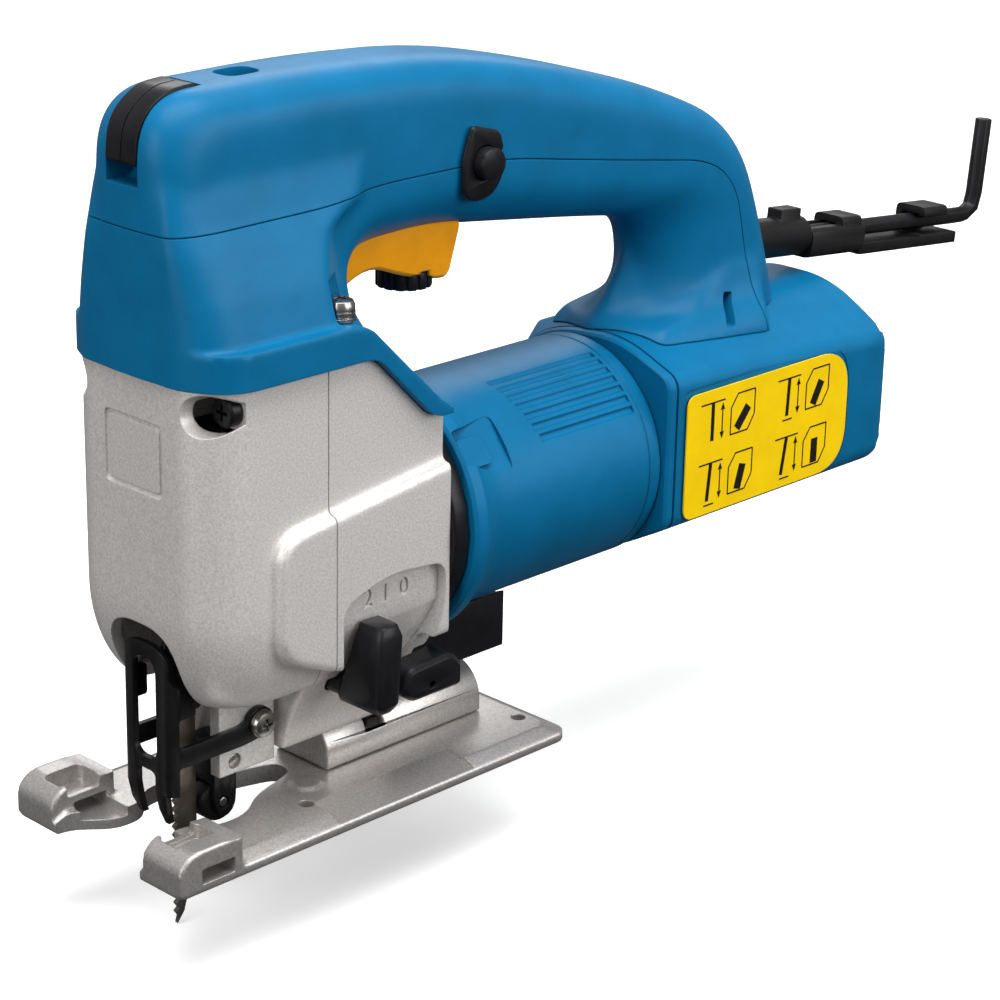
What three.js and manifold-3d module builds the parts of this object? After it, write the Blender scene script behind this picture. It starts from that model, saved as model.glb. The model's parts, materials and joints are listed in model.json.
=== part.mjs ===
// Hand-held orbital jigsaw with a closed D handle, in millimetres.
// +X points to the rear (motor end), -Y to the tool's left side, +Z up.
// The origin is the middle of the shoe's sole.
import * as THREE from 'three';
import { mergeVertices } from 'three/addons/utils/BufferGeometryUtils.js';
import Module from 'manifold-3d';

const wasm = await Module();
wasm.setup();

// ---------------------------------------------------------------- driving dimensions
const GAP = 0.3; // between neighbouring pieces
const THROUGH = 120; // longer than any cut needs

const SHOE = { front: -72.7, rear: 75.2, half: 35.3, top: 5.4, side: 3.3, bevel: 4.6 };
const PRONG = { rear: -51, top: 12.7, inner: 19.3 };
const TILT_Z = 9.5; // height of the shoe's tilt axis, along X
const CLAMP_X = 20; // the bevel clamp screw
const CRADLE = { radius: 10.9, front: 1, rear: 62, wall: 3 };

const MOTOR_Z = 75.3; // height of the motor axis, along X
const BARREL = { front: 32, rear: 113, radius: 34.1, wall: 2.9, ring: 38 };
const REAR = {
  front: 113.3, squared: 131, taper: 214, rear: 224, half: 36, top: 111.5, bottom: 45, wall: 3,
  shoulder: 36 };
const REAR_CREASE = { front: 105.5, rear: 99 }; // heights of the upper side edges

const CASE = { front: -57, seam: -16, rear: 26, half: 30, nose: 16.7, top: 133, bottom: 40, wall: 3.5 };
const BULKHEAD = { front: -10, rear: 2 };
const PLUNGER_X = -42.5;
const STROKE = 26;
const CASE_SCREW = { y: 24.6, z: 126.6, recess: 5.7 };
const STRAP_SCREW = { x: -7.5, y: 25.2, seat: 143.2, head: 4.2 };

const MODULE = 1;
const PINION_TEETH = 8;
const GEAR_TEETH = 42;
const GEAR_Z = MOTOR_Z + (MODULE * (PINION_TEETH + GEAR_TEETH)) / 2;

const HANDLE = { half: 17.5, front: -58.5, top: 206, wall: 3.5 };
const BLADE = { front: -46.5, back: -38.5, tip: -29.5, thickness: 1.3, pitch: 2.6 };
const ROLLER = { x: -32, z: 4.7, radius: 6.2 };
const FORK_PIVOT = { x: -31.5, z: 18.5 };
const BRACKET = { front: -37, rear: -17.3, half: 9, bottom: 15, top: 39.6 };
const GUARD = {
  front: -55.3, rear: -23, half: 11.1, corner: 5.5, sheet: 1.8, top: 58, legs: 15, tip: 5.5 };
const GUARD_SCREW = { x: -24, z: 28.5 };
const SELECTOR = { x: -2.7, z: 38 };
const BLOWER = { x: 19, z: 34.5 };
const LOCK = { x: 51.3, z: 175 };
const TRIGGER_PIVOT = { x: 12, z: 163 };
const DIAL = { x: 39.5, z: 140.6, radius: 8 };
const LEVER = { x: -40.8, z: 201.8, hub: 5.2, half: 5.9 }; // the blade release lever's pivot
const HANDLE_SCREW_X = -21;
const KEY_GROUP = { x: 193, z: 124.5, droop: THREE.MathUtils.degToRad(5.5) };
const KEY = { start: 27, bend: 112, radius: 7, rise: 33, flats: 5 };

// ---------------------------------------------------------------- materials
const finish = (color, roughness, metalness) => ({ color, roughness, metalness });
const BLUE = finish(0x16659e, 0.5, 0);
const BLACK = finish(0x1c1c1e, 0.55, 0);
const RUBBER = finish(0x151516, 0.8, 0);
const CAST = finish(0xb5b1ab, 0.55, 0.8);
const SHOE_METAL = finish(0xa6a29d, 0.5, 0.85);
const STEEL = finish(0x8f8d8a, 0.35, 0.9);
const DARK_STEEL = finish(0x2d2d2f, 0.45, 0.8);
const AMBER = finish(0xe29c1d, 0.45, 0);
const YELLOW = finish(0xf0c80c, 0.5, 0);
const COPPER = finish(0xb36a3c, 0.4, 0.9);
const CARBON = finish(0x26262a, 0.85, 0);
const BRASS = finish(0xb8933f, 0.35, 0.9);

const group = new THREE.Group();

// ---------------------------------------------------------------- outlines
// A closed outline through corners [u, v, fillet].
function outline(corners) {
  const shape = new THREE.Shape();
  const point = ([u, v]) => new THREE.Vector2(u, v);
  corners.forEach((corner, i) => {
    const here = point(corner);
    const before = point(corners[(i + corners.length - 1) % corners.length]);
    const after = point(corners[(i + 1) % corners.length]);
    const fillet = corner[2] ?? 0;
    const toward = (other) => {
      const reach = Math.min(fillet, here.distanceTo(other) * 0.49);
      return other.clone().sub(here).setLength(reach).add(here);
    };
    const entry = fillet ? toward(before) : here;
    if (i === 0) shape.moveTo(entry.x, entry.y);
    else shape.lineTo(entry.x, entry.y);
    if (fillet) {
      const exit = toward(after);
      shape.quadraticCurveTo(here.x, here.y, exit.x, exit.y);
    }
  });
  shape.closePath();
  return shape;
}

// The outline's points, without the closing repeat.
function ringPoints(shape, divisions) {
  const points = shape.getPoints(divisions);
  if (points[0].distanceTo(points[points.length - 1]) < 1e-6) points.pop();
  return points;
}

// Points moved to their left-hand side by `distance`, mitred.
function inset(points, distance) {
  return points.map((here, i) => {
    const before = points[(i + points.length - 1) % points.length];
    const after = points[(i + 1) % points.length];
    const a = here.clone().sub(before).normalize();
    const b = after.clone().sub(here).normalize();
    const normal = new THREE.Vector2(-(a.y + b.y), a.x + b.x).normalize();
    const stretch = Math.max(0.5, normal.dot(new THREE.Vector2(-a.y, a.x)));
    return here.clone().addScaledVector(normal, distance / stretch);
  });
}

// ---------------------------------------------------------------- geometry
const ALONG = {
  x: new THREE.Matrix4().makeBasis(
    new THREE.Vector3(0, 1, 0), new THREE.Vector3(0, 0, 1), new THREE.Vector3(1, 0, 0)),
  y: new THREE.Matrix4().makeBasis(
    new THREE.Vector3(1, 0, 0), new THREE.Vector3(0, 0, 1), new THREE.Vector3(0, -1, 0)),
  z: new THREE.Matrix4(),
};

// An outline drawn across `axis` (Y,Z for x; X,Z for y; X,Y for z), run from `from` to `to`.
function prism(axis, shape, from, to, options = {}) {
  const depth = to - from;
  const geometry = new THREE.ExtrudeGeometry(shape, {
    depth, bevelEnabled: false, curveSegments: 3, ...options });
  geometry.applyMatrix4(ALONG[axis]);
  const shift = { x: [from, 0, 0], y: [0, to, 0], z: [0, 0, from] }[axis];
  return geometry.translate(...shift);
}

// The same with its rim rounded inwards by `round` on both faces.
function pillow(axis, shape, from, to, round, segments = 2) {
  return prism(axis, shape, from + round, to - round, {
    bevelEnabled: true, bevelThickness: round, bevelSize: round, bevelOffset: -round,
    bevelSegments: segments, curveSegments: 4 });
}

function box(x0, x1, y0, y1, z0, z1) {
  const geometry = new THREE.BoxGeometry(x1 - x0, y1 - y0, z1 - z0);
  return geometry.translate((x0 + x1) / 2, (y0 + y1) / 2, (z0 + z1) / 2);
}

// A round bar along `axis`; centre is [y, z], [x, z] or [x, y].
function rod(axis, radius, from, to, centre = [0, 0], sides = 18) {
  const geometry = new THREE.CylinderGeometry(radius, radius, to - from, sides);
  const middle = (from + to) / 2;
  if (axis === 'x') geometry.rotateZ(-Math.PI / 2).translate(middle, ...centre);
  if (axis === 'y') geometry.translate(centre[0], middle, centre[1]);
  if (axis === 'z') geometry.rotateX(Math.PI / 2).translate(...centre, middle);
  return geometry;
}

// A body turned about X from a closed profile of [x, radius].
function turned(profile, sides = 20) {
  const points = profile.map(([x, radius]) => new THREE.Vector2(radius, x));
  const closed = [...points, points[0].clone()];
  return new THREE.LatheGeometry(closed, sides).rotateZ(-Math.PI / 2);
}

// A closed body through matching rings of [x, y, z]; `flat` is the axis the two end caps face.
function loft(rings, flat) {
  const count = rings[0].length;
  const triangles = [];
  for (let i = 0; i + 1 < rings.length; i += 1) {
    for (let j = 0; j < count; j += 1) {
      const a = i * count + j;
      const b = i * count + ((j + 1) % count);
      triangles.push([a, b, b + count], [a, b + count, a + count]);
    }
  }
  const kept = [0, 1, 2].filter((axis) => axis !== flat);
  const cap = (ring, first, sign) => {
    const contour = ring.map((p) => new THREE.Vector2(p[kept[0]], p[kept[1]]));
    const area = THREE.ShapeUtils.area(contour);
    for (const face of THREE.ShapeUtils.triangulateShape(contour, [])) {
      const turn = THREE.ShapeUtils.area(face.map((k) => contour[k])) * area > 0;
      const ordered = turn === sign ? face : [...face].reverse();
      triangles.push(ordered.map((k) => first + k));
    }
  };
  cap(rings[0], 0, false);
  cap(rings[rings.length - 1], (rings.length - 1) * count, true);
  const points = rings.flat().map((p) => new THREE.Vector3(...p));
  const volume = triangles.reduce((sum, [a, b, c]) =>
    sum + points[a].dot(new THREE.Vector3().crossVectors(points[b], points[c])), 0);
  const facing = volume > 0 ? triangles : triangles.map((t) => [...t].reverse());
  const geometry = new THREE.BufferGeometry().setFromPoints(points);
  geometry.setIndex(facing.flat());
  return geometry;
}

// ---------------------------------------------------------------- solids
function solid(geometry) {
  const bare = geometry.index ? geometry.toNonIndexed() : geometry.clone();
  bare.deleteAttribute('normal');
  bare.deleteAttribute('uv');
  const merged = mergeVertices(bare, 1e-4);
  const source = merged.index.array;
  const triangles = [];
  for (let i = 0; i < source.length; i += 3) {
    const [a, b, c] = source.subarray(i, i + 3);
    if (a !== b && b !== c && c !== a) triangles.push(a, b, c);
  }
  return new wasm.Manifold(new wasm.Mesh({
    numProp: 3,
    vertProperties: new Float32Array(merged.attributes.position.array),
    triVerts: new Uint32Array(triangles),
  }));
}

const join = (...geometries) => geometries.map(asSolid).reduce((a, b) => a.add(b));
const cut = (base, ...tools) => tools.map(asSolid).reduce((a, b) => a.subtract(b), asSolid(base));
const common = (a, b) => asSolid(a).intersect(asSolid(b));

function asSolid(thing) {
  return thing instanceof THREE.BufferGeometry ? solid(thing) : thing;
}

// Adds a named piece to `parent`.
function piece(name, body, look, parent = group) {
  const mesh = asSolid(body).getMesh();
  const geometry = new THREE.BufferGeometry();
  geometry.setAttribute('position', new THREE.BufferAttribute(mesh.vertProperties, 3));
  geometry.setIndex(new THREE.BufferAttribute(mesh.triVerts, 1));
  const item = new THREE.Mesh(geometry, new THREE.MeshStandardMaterial(look));
  item.name = name;
  parent.add(item);
  return item;
}

function subgroup(x, y, z) {
  const child = new THREE.Group();
  child.position.set(x, y, z);
  group.add(child);
  return child;
}

const bothSides = (make) => join(make(-1), make(1));
const span = (a, b) => [Math.min(a, b), Math.max(a, b)];
const sideBox = (x0, x1, side, near, far, z0, z1) =>
  box(x0, x1, ...span(side * near, side * far), z0, z1);

// ---------------------------------------------------------------- shoe
function shoeBody() {
  const opening = outline([
    [SHOE.front - 5, -18.3], [-68, -18.3, 3], [-58, -10, 3], [-49, -10, 3], [-44, -15.5, 5],
    [-33, -15.5, 5], [-24, -8.5, 6], [-11, -5, 3], [-6, -3, 2], [-6, 3, 2], [-11, 5, 3], [-24, 8.5, 6],
    [-33, 15.5, 5], [-44, 15.5, 5], [-49, 10, 3], [-58, 10, 3], [-68, 18.3, 3], [SHOE.front - 5, 18.3]]);
  const level = (skin, z) => {
    const [front, rear, half] = [SHOE.front + skin, SHOE.rear - skin, SHOE.half - skin];
    const footprint = outline([
      [front, -half, 2], [rear - 3, -half], [rear, -half + 3], [rear, half - 3], [rear - 3, half],
      [front, half, 2]]);
    return ringPoints(footprint, 3).map((p) => [p.x, p.y, z]);
  };
  const plate = loft([level(0.8, 0), level(0, 0.8), level(0, SHOE.side), level(SHOE.bevel, SHOE.top)], 2);
  const prongs = bothSides((side) =>
    sideBox(SHOE.front, PRONG.rear, side, PRONG.inner, SHOE.half, 0.8, PRONG.top));
  const pockets = bothSides((side) =>
    sideBox(-68.5, PRONG.rear - 2.5, side, PRONG.inner + 2.5, 31, 8.6, 20));
  const fenceSlots = bothSides((side) => sideBox(-65.4, -54.1, side, 5, 40, 2.9, 7.2));
  const wideBevels = bothSides((side) => {
    const wedge = new THREE.Shape();
    wedge.moveTo(side * (SHOE.half + 0.1), SHOE.side);
    wedge.lineTo(side * (SHOE.half + 0.1), SHOE.top + 1);
    wedge.lineTo(side * 23, SHOE.top + 1);
    wedge.lineTo(side * 23, SHOE.top);
    return prism('x', wedge, -16, 36);
  });
  const holes = [rod('z', 2.2, -1, 20, [-17, -22]), rod('z', 2.2, -1, 20, [67, -22]),
    rod('z', 2.2, -1, 20, [-17, 22]), rod('z', 2.2, -1, 20, [67, 22])];
  const clampWindow = prism('z', outline([[14, -7, 2], [46, -7, 2], [46, 7, 2], [14, 7, 2]]), -1, 20);
  const bosses = bothSides((side) => rod('z', 4, 3, 6.2, [-9, side * 13]));
  return cut(join(plate, prongs, bosses), prism('z', opening, -1, 30), pockets, fenceSlots, wideBevels,
    clampWindow, ...holes);
}

function cradleBody() {
  const { radius, front, rear, wall } = CRADLE;
  const arch = (r) => {
    const shape = new THREE.Shape();
    shape.moveTo(r, SHOE.top + GAP);
    shape.lineTo(r, TILT_Z);
    shape.absarc(0, TILT_Z, r, 0, Math.PI);
    shape.lineTo(-r, SHOE.top + GAP);
    shape.closePath();
    return shape;
  };
  const outer = prism('x', arch(radius), front, rear, { curveSegments: 16 });
  const inner = prism('x', arch(radius - wall), 14, 46, { curveSegments: 12 });
  const [low, high] = [THREE.MathUtils.degToRad(18), THREE.MathUtils.degToRad(162)];
  const reach = radius + 4;
  const sector = new THREE.Shape();
  sector.moveTo(0, TILT_Z);
  sector.lineTo(reach * Math.cos(low), TILT_Z + reach * Math.sin(low));
  sector.absarc(0, TILT_Z, reach, low, high);
  const slot = prism('x', sector, CLAMP_X - 3.6, CLAMP_X + 3.6, { curveSegments: 6 });
  return cut(outer, inner, slot);
}

// ---------------------------------------------------------------- metal gear case
// The case's plan outline at height z, drawn `skin` inside its surface.
function caseRing(z, skin, rear) {
  const sunk = Math.min(Math.max((70 - z) / (70 - CASE.bottom), 0), 1);
  const curl = 1 - Math.sqrt(1 - sunk * sunk);
  const half = CASE.half - 9 * curl - skin;
  const front = CASE.front + 15 * curl + skin;
  const nose = (CASE.nose * half) / CASE.half;
  const steps = 4;
  const corner = (side) => Array.from({ length: steps + 1 }, (_, i) => {
    const angle = (i / steps) * (Math.PI / 2);
    return [front + 16.5 * (1 - Math.cos(angle)), side * (nose + (half - nose) * Math.sin(angle)), z];
  });
  return [...corner(-1), [rear, -half, z], [rear, half, z], ...corner(1).reverse()];
}

function caseBlock(skin, bottom, top, rear) {
  const levels = [0, 0.15, 0.4, 0.75, 1].map((t) => CASE.bottom + 30 * t);
  const inside = levels.filter((z) => z > bottom + 1 && z < top - 1);
  return loft([bottom, ...inside, top].map((z) => caseRing(z, skin, rear)), 2);
}

const frontHalf = () => box(-THROUGH, CASE.seam - GAP / 2, -THROUGH, THROUGH, -THROUGH, 2 * THROUGH);
const rearHalf = () => box(CASE.seam + GAP / 2, THROUGH, -THROUGH, THROUGH, -THROUGH, 2 * THROUGH);

function gearBulges() {
  const shape = outline([[-35, 56, 8], [-35, 90, 8], [36, 99, 8], [36, 48, 8], [-12, 46, 10]]);
  const pads = bothSides((side) => pillow('y', shape, ...span(side * 24, side * 33.5), 3));
  return common(pads, box(-THROUGH, CASE.rear, -THROUGH, THROUGH, 0, THROUGH));
}

function frontCoverBody() {
  const outer = common(join(caseBlock(0, CASE.bottom, CASE.top, CASE.rear), gearBulges()), frontHalf());
  const cavity = caseBlock(CASE.wall, CASE.bottom + CASE.wall, CASE.top - CASE.wall, 0);
  const arch = outline([[-14, 20], [-14, 64, 9], [14, 64, 9], [14, 20]]);
  const upperBoss = box(-54, -34, -10, 10, 121, CASE.top - 1);
  const lowerWeb = common(box(-54, -34, -30, 30, 68, 77), caseBlock(1, 60, 90, 0));
  const screwAt = (side) => [side * CASE_SCREW.y, CASE_SCREW.z];
  const bosses = bothSides((side) => rod('x', 5.2, -46, CASE.seam - GAP / 2, screwAt(side)));
  const counterbores = bothSides((side) => rod('x', CASE_SCREW.recess, -70, -44, screwAt(side)));
  const screwHoles = bothSides((side) => rod('x', 2.3, -60, 0, screwAt(side), 12));
  const badge = prism('x', outline([[-11, 102, 2], [-11, 121, 2], [11, 121, 2], [11, 102, 2]]),
    CASE.front - 1, CASE.front + 0.8);
  const floorGap = box(-60, -30, -8, 8, 30, 50);
  const shell = cut(outer, cavity);
  return cut(join(shell, upperBoss, lowerWeb, bosses), prism('x', arch, -70, -36), floorGap, badge,
    rod('z', 7.3, 60, CASE.top - 1.5, [PLUNGER_X, 0]), rod('z', 5.7, 60, 140, [PLUNGER_X, 0]),
    counterbores, screwHoles);
}

// The metal case's top, which falls away behind to the motor flange.
const metalTop = (lift) => outline([
  [-70, CASE.top + lift], [-1, CASE.top + lift, 4], [20.5, 111.7 + lift, 4], [40, 111.7 + lift],
  [40, 200], [-70, 200]]);

function gearHousingBody() {
  const block = caseBlock(0, CASE.bottom, CASE.top, CASE.rear);
  const front = CASE.seam + GAP / 2;
  const neck = loft([[16, 10.4], [24, 12], [32, 15.5], [40.5, 21]].map(([z, half]) =>
    [[front, -half, z], [CASE.rear, -half, z], [CASE.rear, half, z], [front, half, z]]), 2);
  const outer = cut(common(join(block, gearBulges(), neck), rearHalf()), prism('y', metalTop(0), -60, 60));
  const pocketFloor = outline([
    [-60, 30], [-20.5, 30], [-22, 40], [-26, 48], [-30.3, 58], [-30.3, 71.5], [-60, 71.5]]);
  const pocketRim = outline([
    [-13.5, 30], [-13.5, 66, 4], [3, 71, 6], [24.6, 69.5, 4], [24.6, 56, 6], [14, 30]]);
  const pocket = common(prism('x', pocketFloor, -30, 40), prism('y', pocketRim, -60, 0));
  const gearRoom = common(caseBlock(CASE.wall, 60, CASE.top - CASE.wall, 40),
    box(-20, BULKHEAD.front, -THROUGH, THROUGH, 0, THROUGH * 2));
  const fanRoom = rod('x', 28.5, BULKHEAD.rear, 40, [0, MOTOR_Z], 28);
  const seat = rod('x', 13.3, -9.2, 10, [0, MOTOR_Z]);
  const bosses = bothSides((side) => rod('x', 5.2, front, -9, [side * CASE_SCREW.y, CASE_SCREW.z]));
  const tapped = bothSides((side) => rod('x', 2.3, -20, -7, [side * CASE_SCREW.y, CASE_SCREW.z], 12));
  const strapHoles = bothSides((side) =>
    rod('z', 2.1, 117, 140, [STRAP_SCREW.x, side * STRAP_SCREW.y], 12));
  const saddle = rod('x', CRADLE.radius + GAP + 0.2, 0.4, 90, [0, TILT_Z], 32);
  const base = cut(outer, gearRoom, fanRoom);
  return cut(join(base, bosses), pocket, seat, saddle, tapped, strapHoles,
    rod('x', 7, -20, 10, [0, MOTOR_Z]),
    rod('x', 4.3, -20, -2.5, [0, GEAR_Z]),
    rod('y', 4.3, -30, -13, [SELECTOR.x, SELECTOR.z]),
    rod('y', 3.3, -30, -12, [BLOWER.x, BLOWER.z]),
    rod('z', 3.3, 10, 36, [CLAMP_X, 0]),
    box(12, 24, -40, -13, 20, 28));
}

// ---------------------------------------------------------------- motor housings
function barrelBody() {
  const { front, rear, radius, wall, ring } = BARREL;
  const shell = turned([
    [front, radius - wall], [front, ring], [front + 5, ring], [front + 11, radius], [rear, radius],
    [rear, radius - wall]], 32).translate(0, 0, MOTOR_Z);
  const grooves = [];
  for (let i = 0; i < 6; i += 1) {
    const tool = box(62, 111, -0.5, 0.5, radius - 0.9, radius + 2);
    grooves.push(tool.rotateX(THREE.MathUtils.degToRad(22 + 6 * i)).translate(0, 0, MOTOR_Z));
  }
  return cut(shell, ...grooves);
}

// The rear housing's section at x, drawn `skin` inside its surface.
// Its upper right shoulder starts rounded, level with the barrel, and is square from `squared` on.
function rearRing(x, skin) {
  const share = Math.min(Math.max((x - REAR.front) / (REAR.taper - REAR.front), 0), 1);
  const crease = REAR_CREASE.front + (REAR_CREASE.rear - REAR_CREASE.front) * share;
  const half = REAR.half - skin;
  const rounded = 1 - Math.min(Math.max((x - REAR.front) / (REAR.squared - REAR.front), 0), 1);
  const side = (sign) => [
    [sign * (15 - skin * 0.3), REAR.bottom + skin, 8], [sign * half, 56.5 + skin * 0.5, 3],
    [sign * half, crease - 2.5 - skin * 0.6, 3], [sign * (14 - skin * 0.3), REAR.top - skin, 8]];
  const shoulder = ([y, z, fillet]) => {
    const shrink = 1 - rounded * (1 - (REAR.shoulder - skin) / Math.hypot(y, z - MOTOR_Z));
    return [y * shrink, MOTOR_Z + (z - MOTOR_Z) * shrink, fillet + 9 * rounded];
  };
  const [foot, hip, ...upper] = side(1);
  const corners = [...side(-1), ...upper.map(shoulder).reverse(), hip, foot];
  return ringPoints(outline(corners), 3).map((p) => [x, p.x, p.y]);
}

function rearHousingBody() {
  const { front, squared, taper, rear, wall } = REAR;
  const outer = loft([rearRing(front, 0), rearRing(squared, 0), rearRing(taper, 0),
    rearRing(rear - 3.5, 2.4), rearRing(rear, 9)], 0);
  const inner = loft([rearRing(front + wall, wall), rearRing(squared, wall), rearRing(taper, wall),
    rearRing(rear - 6, wall + 1)], 0);
  const mouth = rod('x', 30, front - 1, front + wall + 1, [0, MOTOR_Z], 28);
  const spider = cut(join(
    rod('x', 17, 168, 180, [0, MOTOR_Z]),
    box(170, 178, -34.5, 34.5, MOTOR_Z - 3, MOTOR_Z + 3),
    box(170, 178, -3, 3, 46, 110)), rod('x', 13.3, 166, 178.8, [0, MOTOR_Z]));
  const brushPads = join(box(134, 144, -6, 6, 46, 49.5), box(134, 144, -6, 6, 101.1, 110));
  const vents = [];
  for (let i = -3; i <= 3; i += 1) vents.push(box(212, 230, i * 7 - 1.5, i * 7 + 1.5, 54, 96));
  return cut(join(cut(outer, inner, mouth), spider, brushPads), ...vents);
}

// ---------------------------------------------------------------- handle
const LOOP_OUTER = [
  [HANDLE.front, 108, 10], [HANDLE.front, 206, 17], [0, 207, 20], [48, 204.5, 20], [90, 195.5, 20],
  [132, 183.5, 20], [168, 168, 20], [183, 132, 20], [196, 85, 10]];
// The hand opening: x and z at the handle's sides, fillet, then x and z in the middle plane.
const OPENING = [
  [3, 143, 6, 7, 142], [0, 158, 8, 6, 152], [12, 170.5, 10, 14, 155], [40, 171, 10, 40, 156],
  [108, 160.5, 14, 104, 147.6], [158, 152, 14, 129.5, 143.6], [165, 128, 14, 133, 128],
  [160, 112, 10, 130, 120], [128, 104, 8, 122, 114.5], [115, 80, 2, 112, 80], [40, 80, 2, 40, 80],
  [26, 113, 2, 27, 113]];

function insetCorners(corners, distance) {
  const moved = inset(corners.map(([u, v]) => new THREE.Vector2(u, v)), distance);
  return corners.map((corner, i) => [moved[i].x, moved[i].y, corner[2]]);
}

function loopBody() {
  const round = 11;
  const steps = 3;
  const rings = [];
  for (let i = 0; i <= steps; i += 1) {
    const angle = (i / steps) * (Math.PI / 2);
    const y = round * (1 - Math.cos(angle)) - HANDLE.half;
    const corners = insetCorners(LOOP_OUTER, -round * (1 - Math.sin(angle)));
    rings.push(ringPoints(outline(corners), 3).map((p) => [p.x, y, p.y]));
  }
  const mirrored = [...rings].reverse().map((ring) => ring.map(([x, y, z]) => [x, -y, z]));
  return loft([...rings, ...mirrored], 1);
}

// The opening, narrow in the middle plane and wide at the handle's sides.
function openingTool() {
  const ring = (y, share) => ringPoints(outline(OPENING.map(([x, z, fillet, midX, midZ]) =>
    [x + (midX - x) * share, z + (midZ - z) * share, fillet])), 2).map((p) => [p.x, y, p.y]);
  const rings = [ring(-40, 0)];
  const steps = 6;
  for (let i = 0; i <= steps; i += 1) {
    const angle = (i / steps) * Math.PI;
    rings.push(ring(-HANDLE.half * Math.cos(angle), Math.sin(angle)));
  }
  rings.push(ring(40, 0));
  return loft(rings, 1);
}

const splitRegion = (lift) => outline([
  [-80, 171.5 + lift], [-8, 172.5 + lift, 3], [16, 174.5 + lift, 6], [60, 174.5 + lift, 10],
  [105, 167 + lift, 10], [150, 160 + lift, 10], [162 + lift, 150, 8], [168 + lift, 126, 8],
  [170 + lift, 90], [260, 90], [260, 260], [-80, 260]]);

// The front block's plan at height z. Its rear corners are cut back from `rear` to `rearSide`.
function blockRing(z, front, nose, half, rear, rearSide = rear) {
  const steps = 3;
  const corner = (side) => Array.from({ length: steps + 1 }, (_, i) => {
    const angle = (i / steps) * (Math.PI / 2);
    return [front + 15 * (1 - Math.cos(angle)), side * (nose + (half - nose) * Math.sin(angle)), z];
  });
  const back = (side) => [[rearSide, side * half, z], [rear, side * half * 0.6, z]];
  return [...corner(-1), ...back(-1), ...back(1).reverse(), ...corner(1).reverse()];
}

// The rear column's foot at height z: a ridge at `tip`, full width from `side` back to `rear`.
function footRing(z, tip, side, half, rear, halfRear) {
  const edge = (sign) => [0.25, 0.5, 0.75, 1].map((t) =>
    [side - (side - tip) * (1 - t ** 1.3), sign * half * t, z]);
  const back = (sign) => [[rear - 5, sign * halfRear, z], [rear, sign * (halfRear - 6), z]];
  return [[tip, 0, z], ...edge(-1), ...back(-1), ...back(1).reverse(), ...edge(1).reverse()];
}

function handleBody() {
  const shoulders = loft([
    blockRing(111.9, -58, 16.2, 29, 27), blockRing(143, -58.1, 16, 29, 3, -12),
    blockRing(155, -58.1, 15.6, 26.5, 1, -13), blockRing(167, -58.1, 15, 22.5, 4, -9),
    blockRing(173, -57.9, 14.3, 20, 18, 4), blockRing(183, -57, 12.8, 17.7, 20, 8),
    blockRing(196, -52, 9.5, 14, 20, 8)], 2);
  const flangePlan = loft([105, 150].map((z) => blockRing(z, -57.6, 14.5, 33, 27.7)), 2);
  const flange = common(flangePlan, prism('y', outline([
    [-70, CASE.top + GAP], [-1, CASE.top + GAP, 4], [20.5, 112, 4], [27.7, 112], [27.7, 113.5],
    [22.5, 117, 3], [-4.5, STRAP_SCREW.seat, 5], [-70, STRAP_SCREW.seat]]), -50, 50));
  const foot = loft([
    footRing(97, 114.3, 124, 23, 176, 27.5), footRing(107.5, 114.5, 124, 22.8, 175, 27),
    footRing(112, 116, 128, 20.5, 176, 24.5), footRing(114.5, 119, 142, 19, 177, 22.5),
    footRing(120, 124, 153, 18.5, 179, 19.8), footRing(128, 129, 160, 17.4, 180, 17.6),
    footRing(142, 133, 165, 16.2, 172, 16.2)], 2);
  const above = prism('y', outline([
    [-70, CASE.top + GAP], [-1, CASE.top + GAP, 4], [20.5, 112, 4], [27.7, 112], [27.7, 114], [36, 118],
    [115, 118], [115, 99], [260, 99], [260, 260], [-70, 260]]), -60, 60);
  const whole = common(join(cut(loopBody(), openingTool()), shoulders, flange, foot), above);
  return cut(whole,
    loft([rearRing(REAR.front - GAP, -GAP), rearRing(REAR.squared, -GAP), rearRing(REAR.taper, -GAP),
      rearRing(240, -GAP)], 0),
    rod('x', BARREL.radius + GAP, 50, REAR.front, [0, MOTOR_Z], 32));
}

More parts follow.
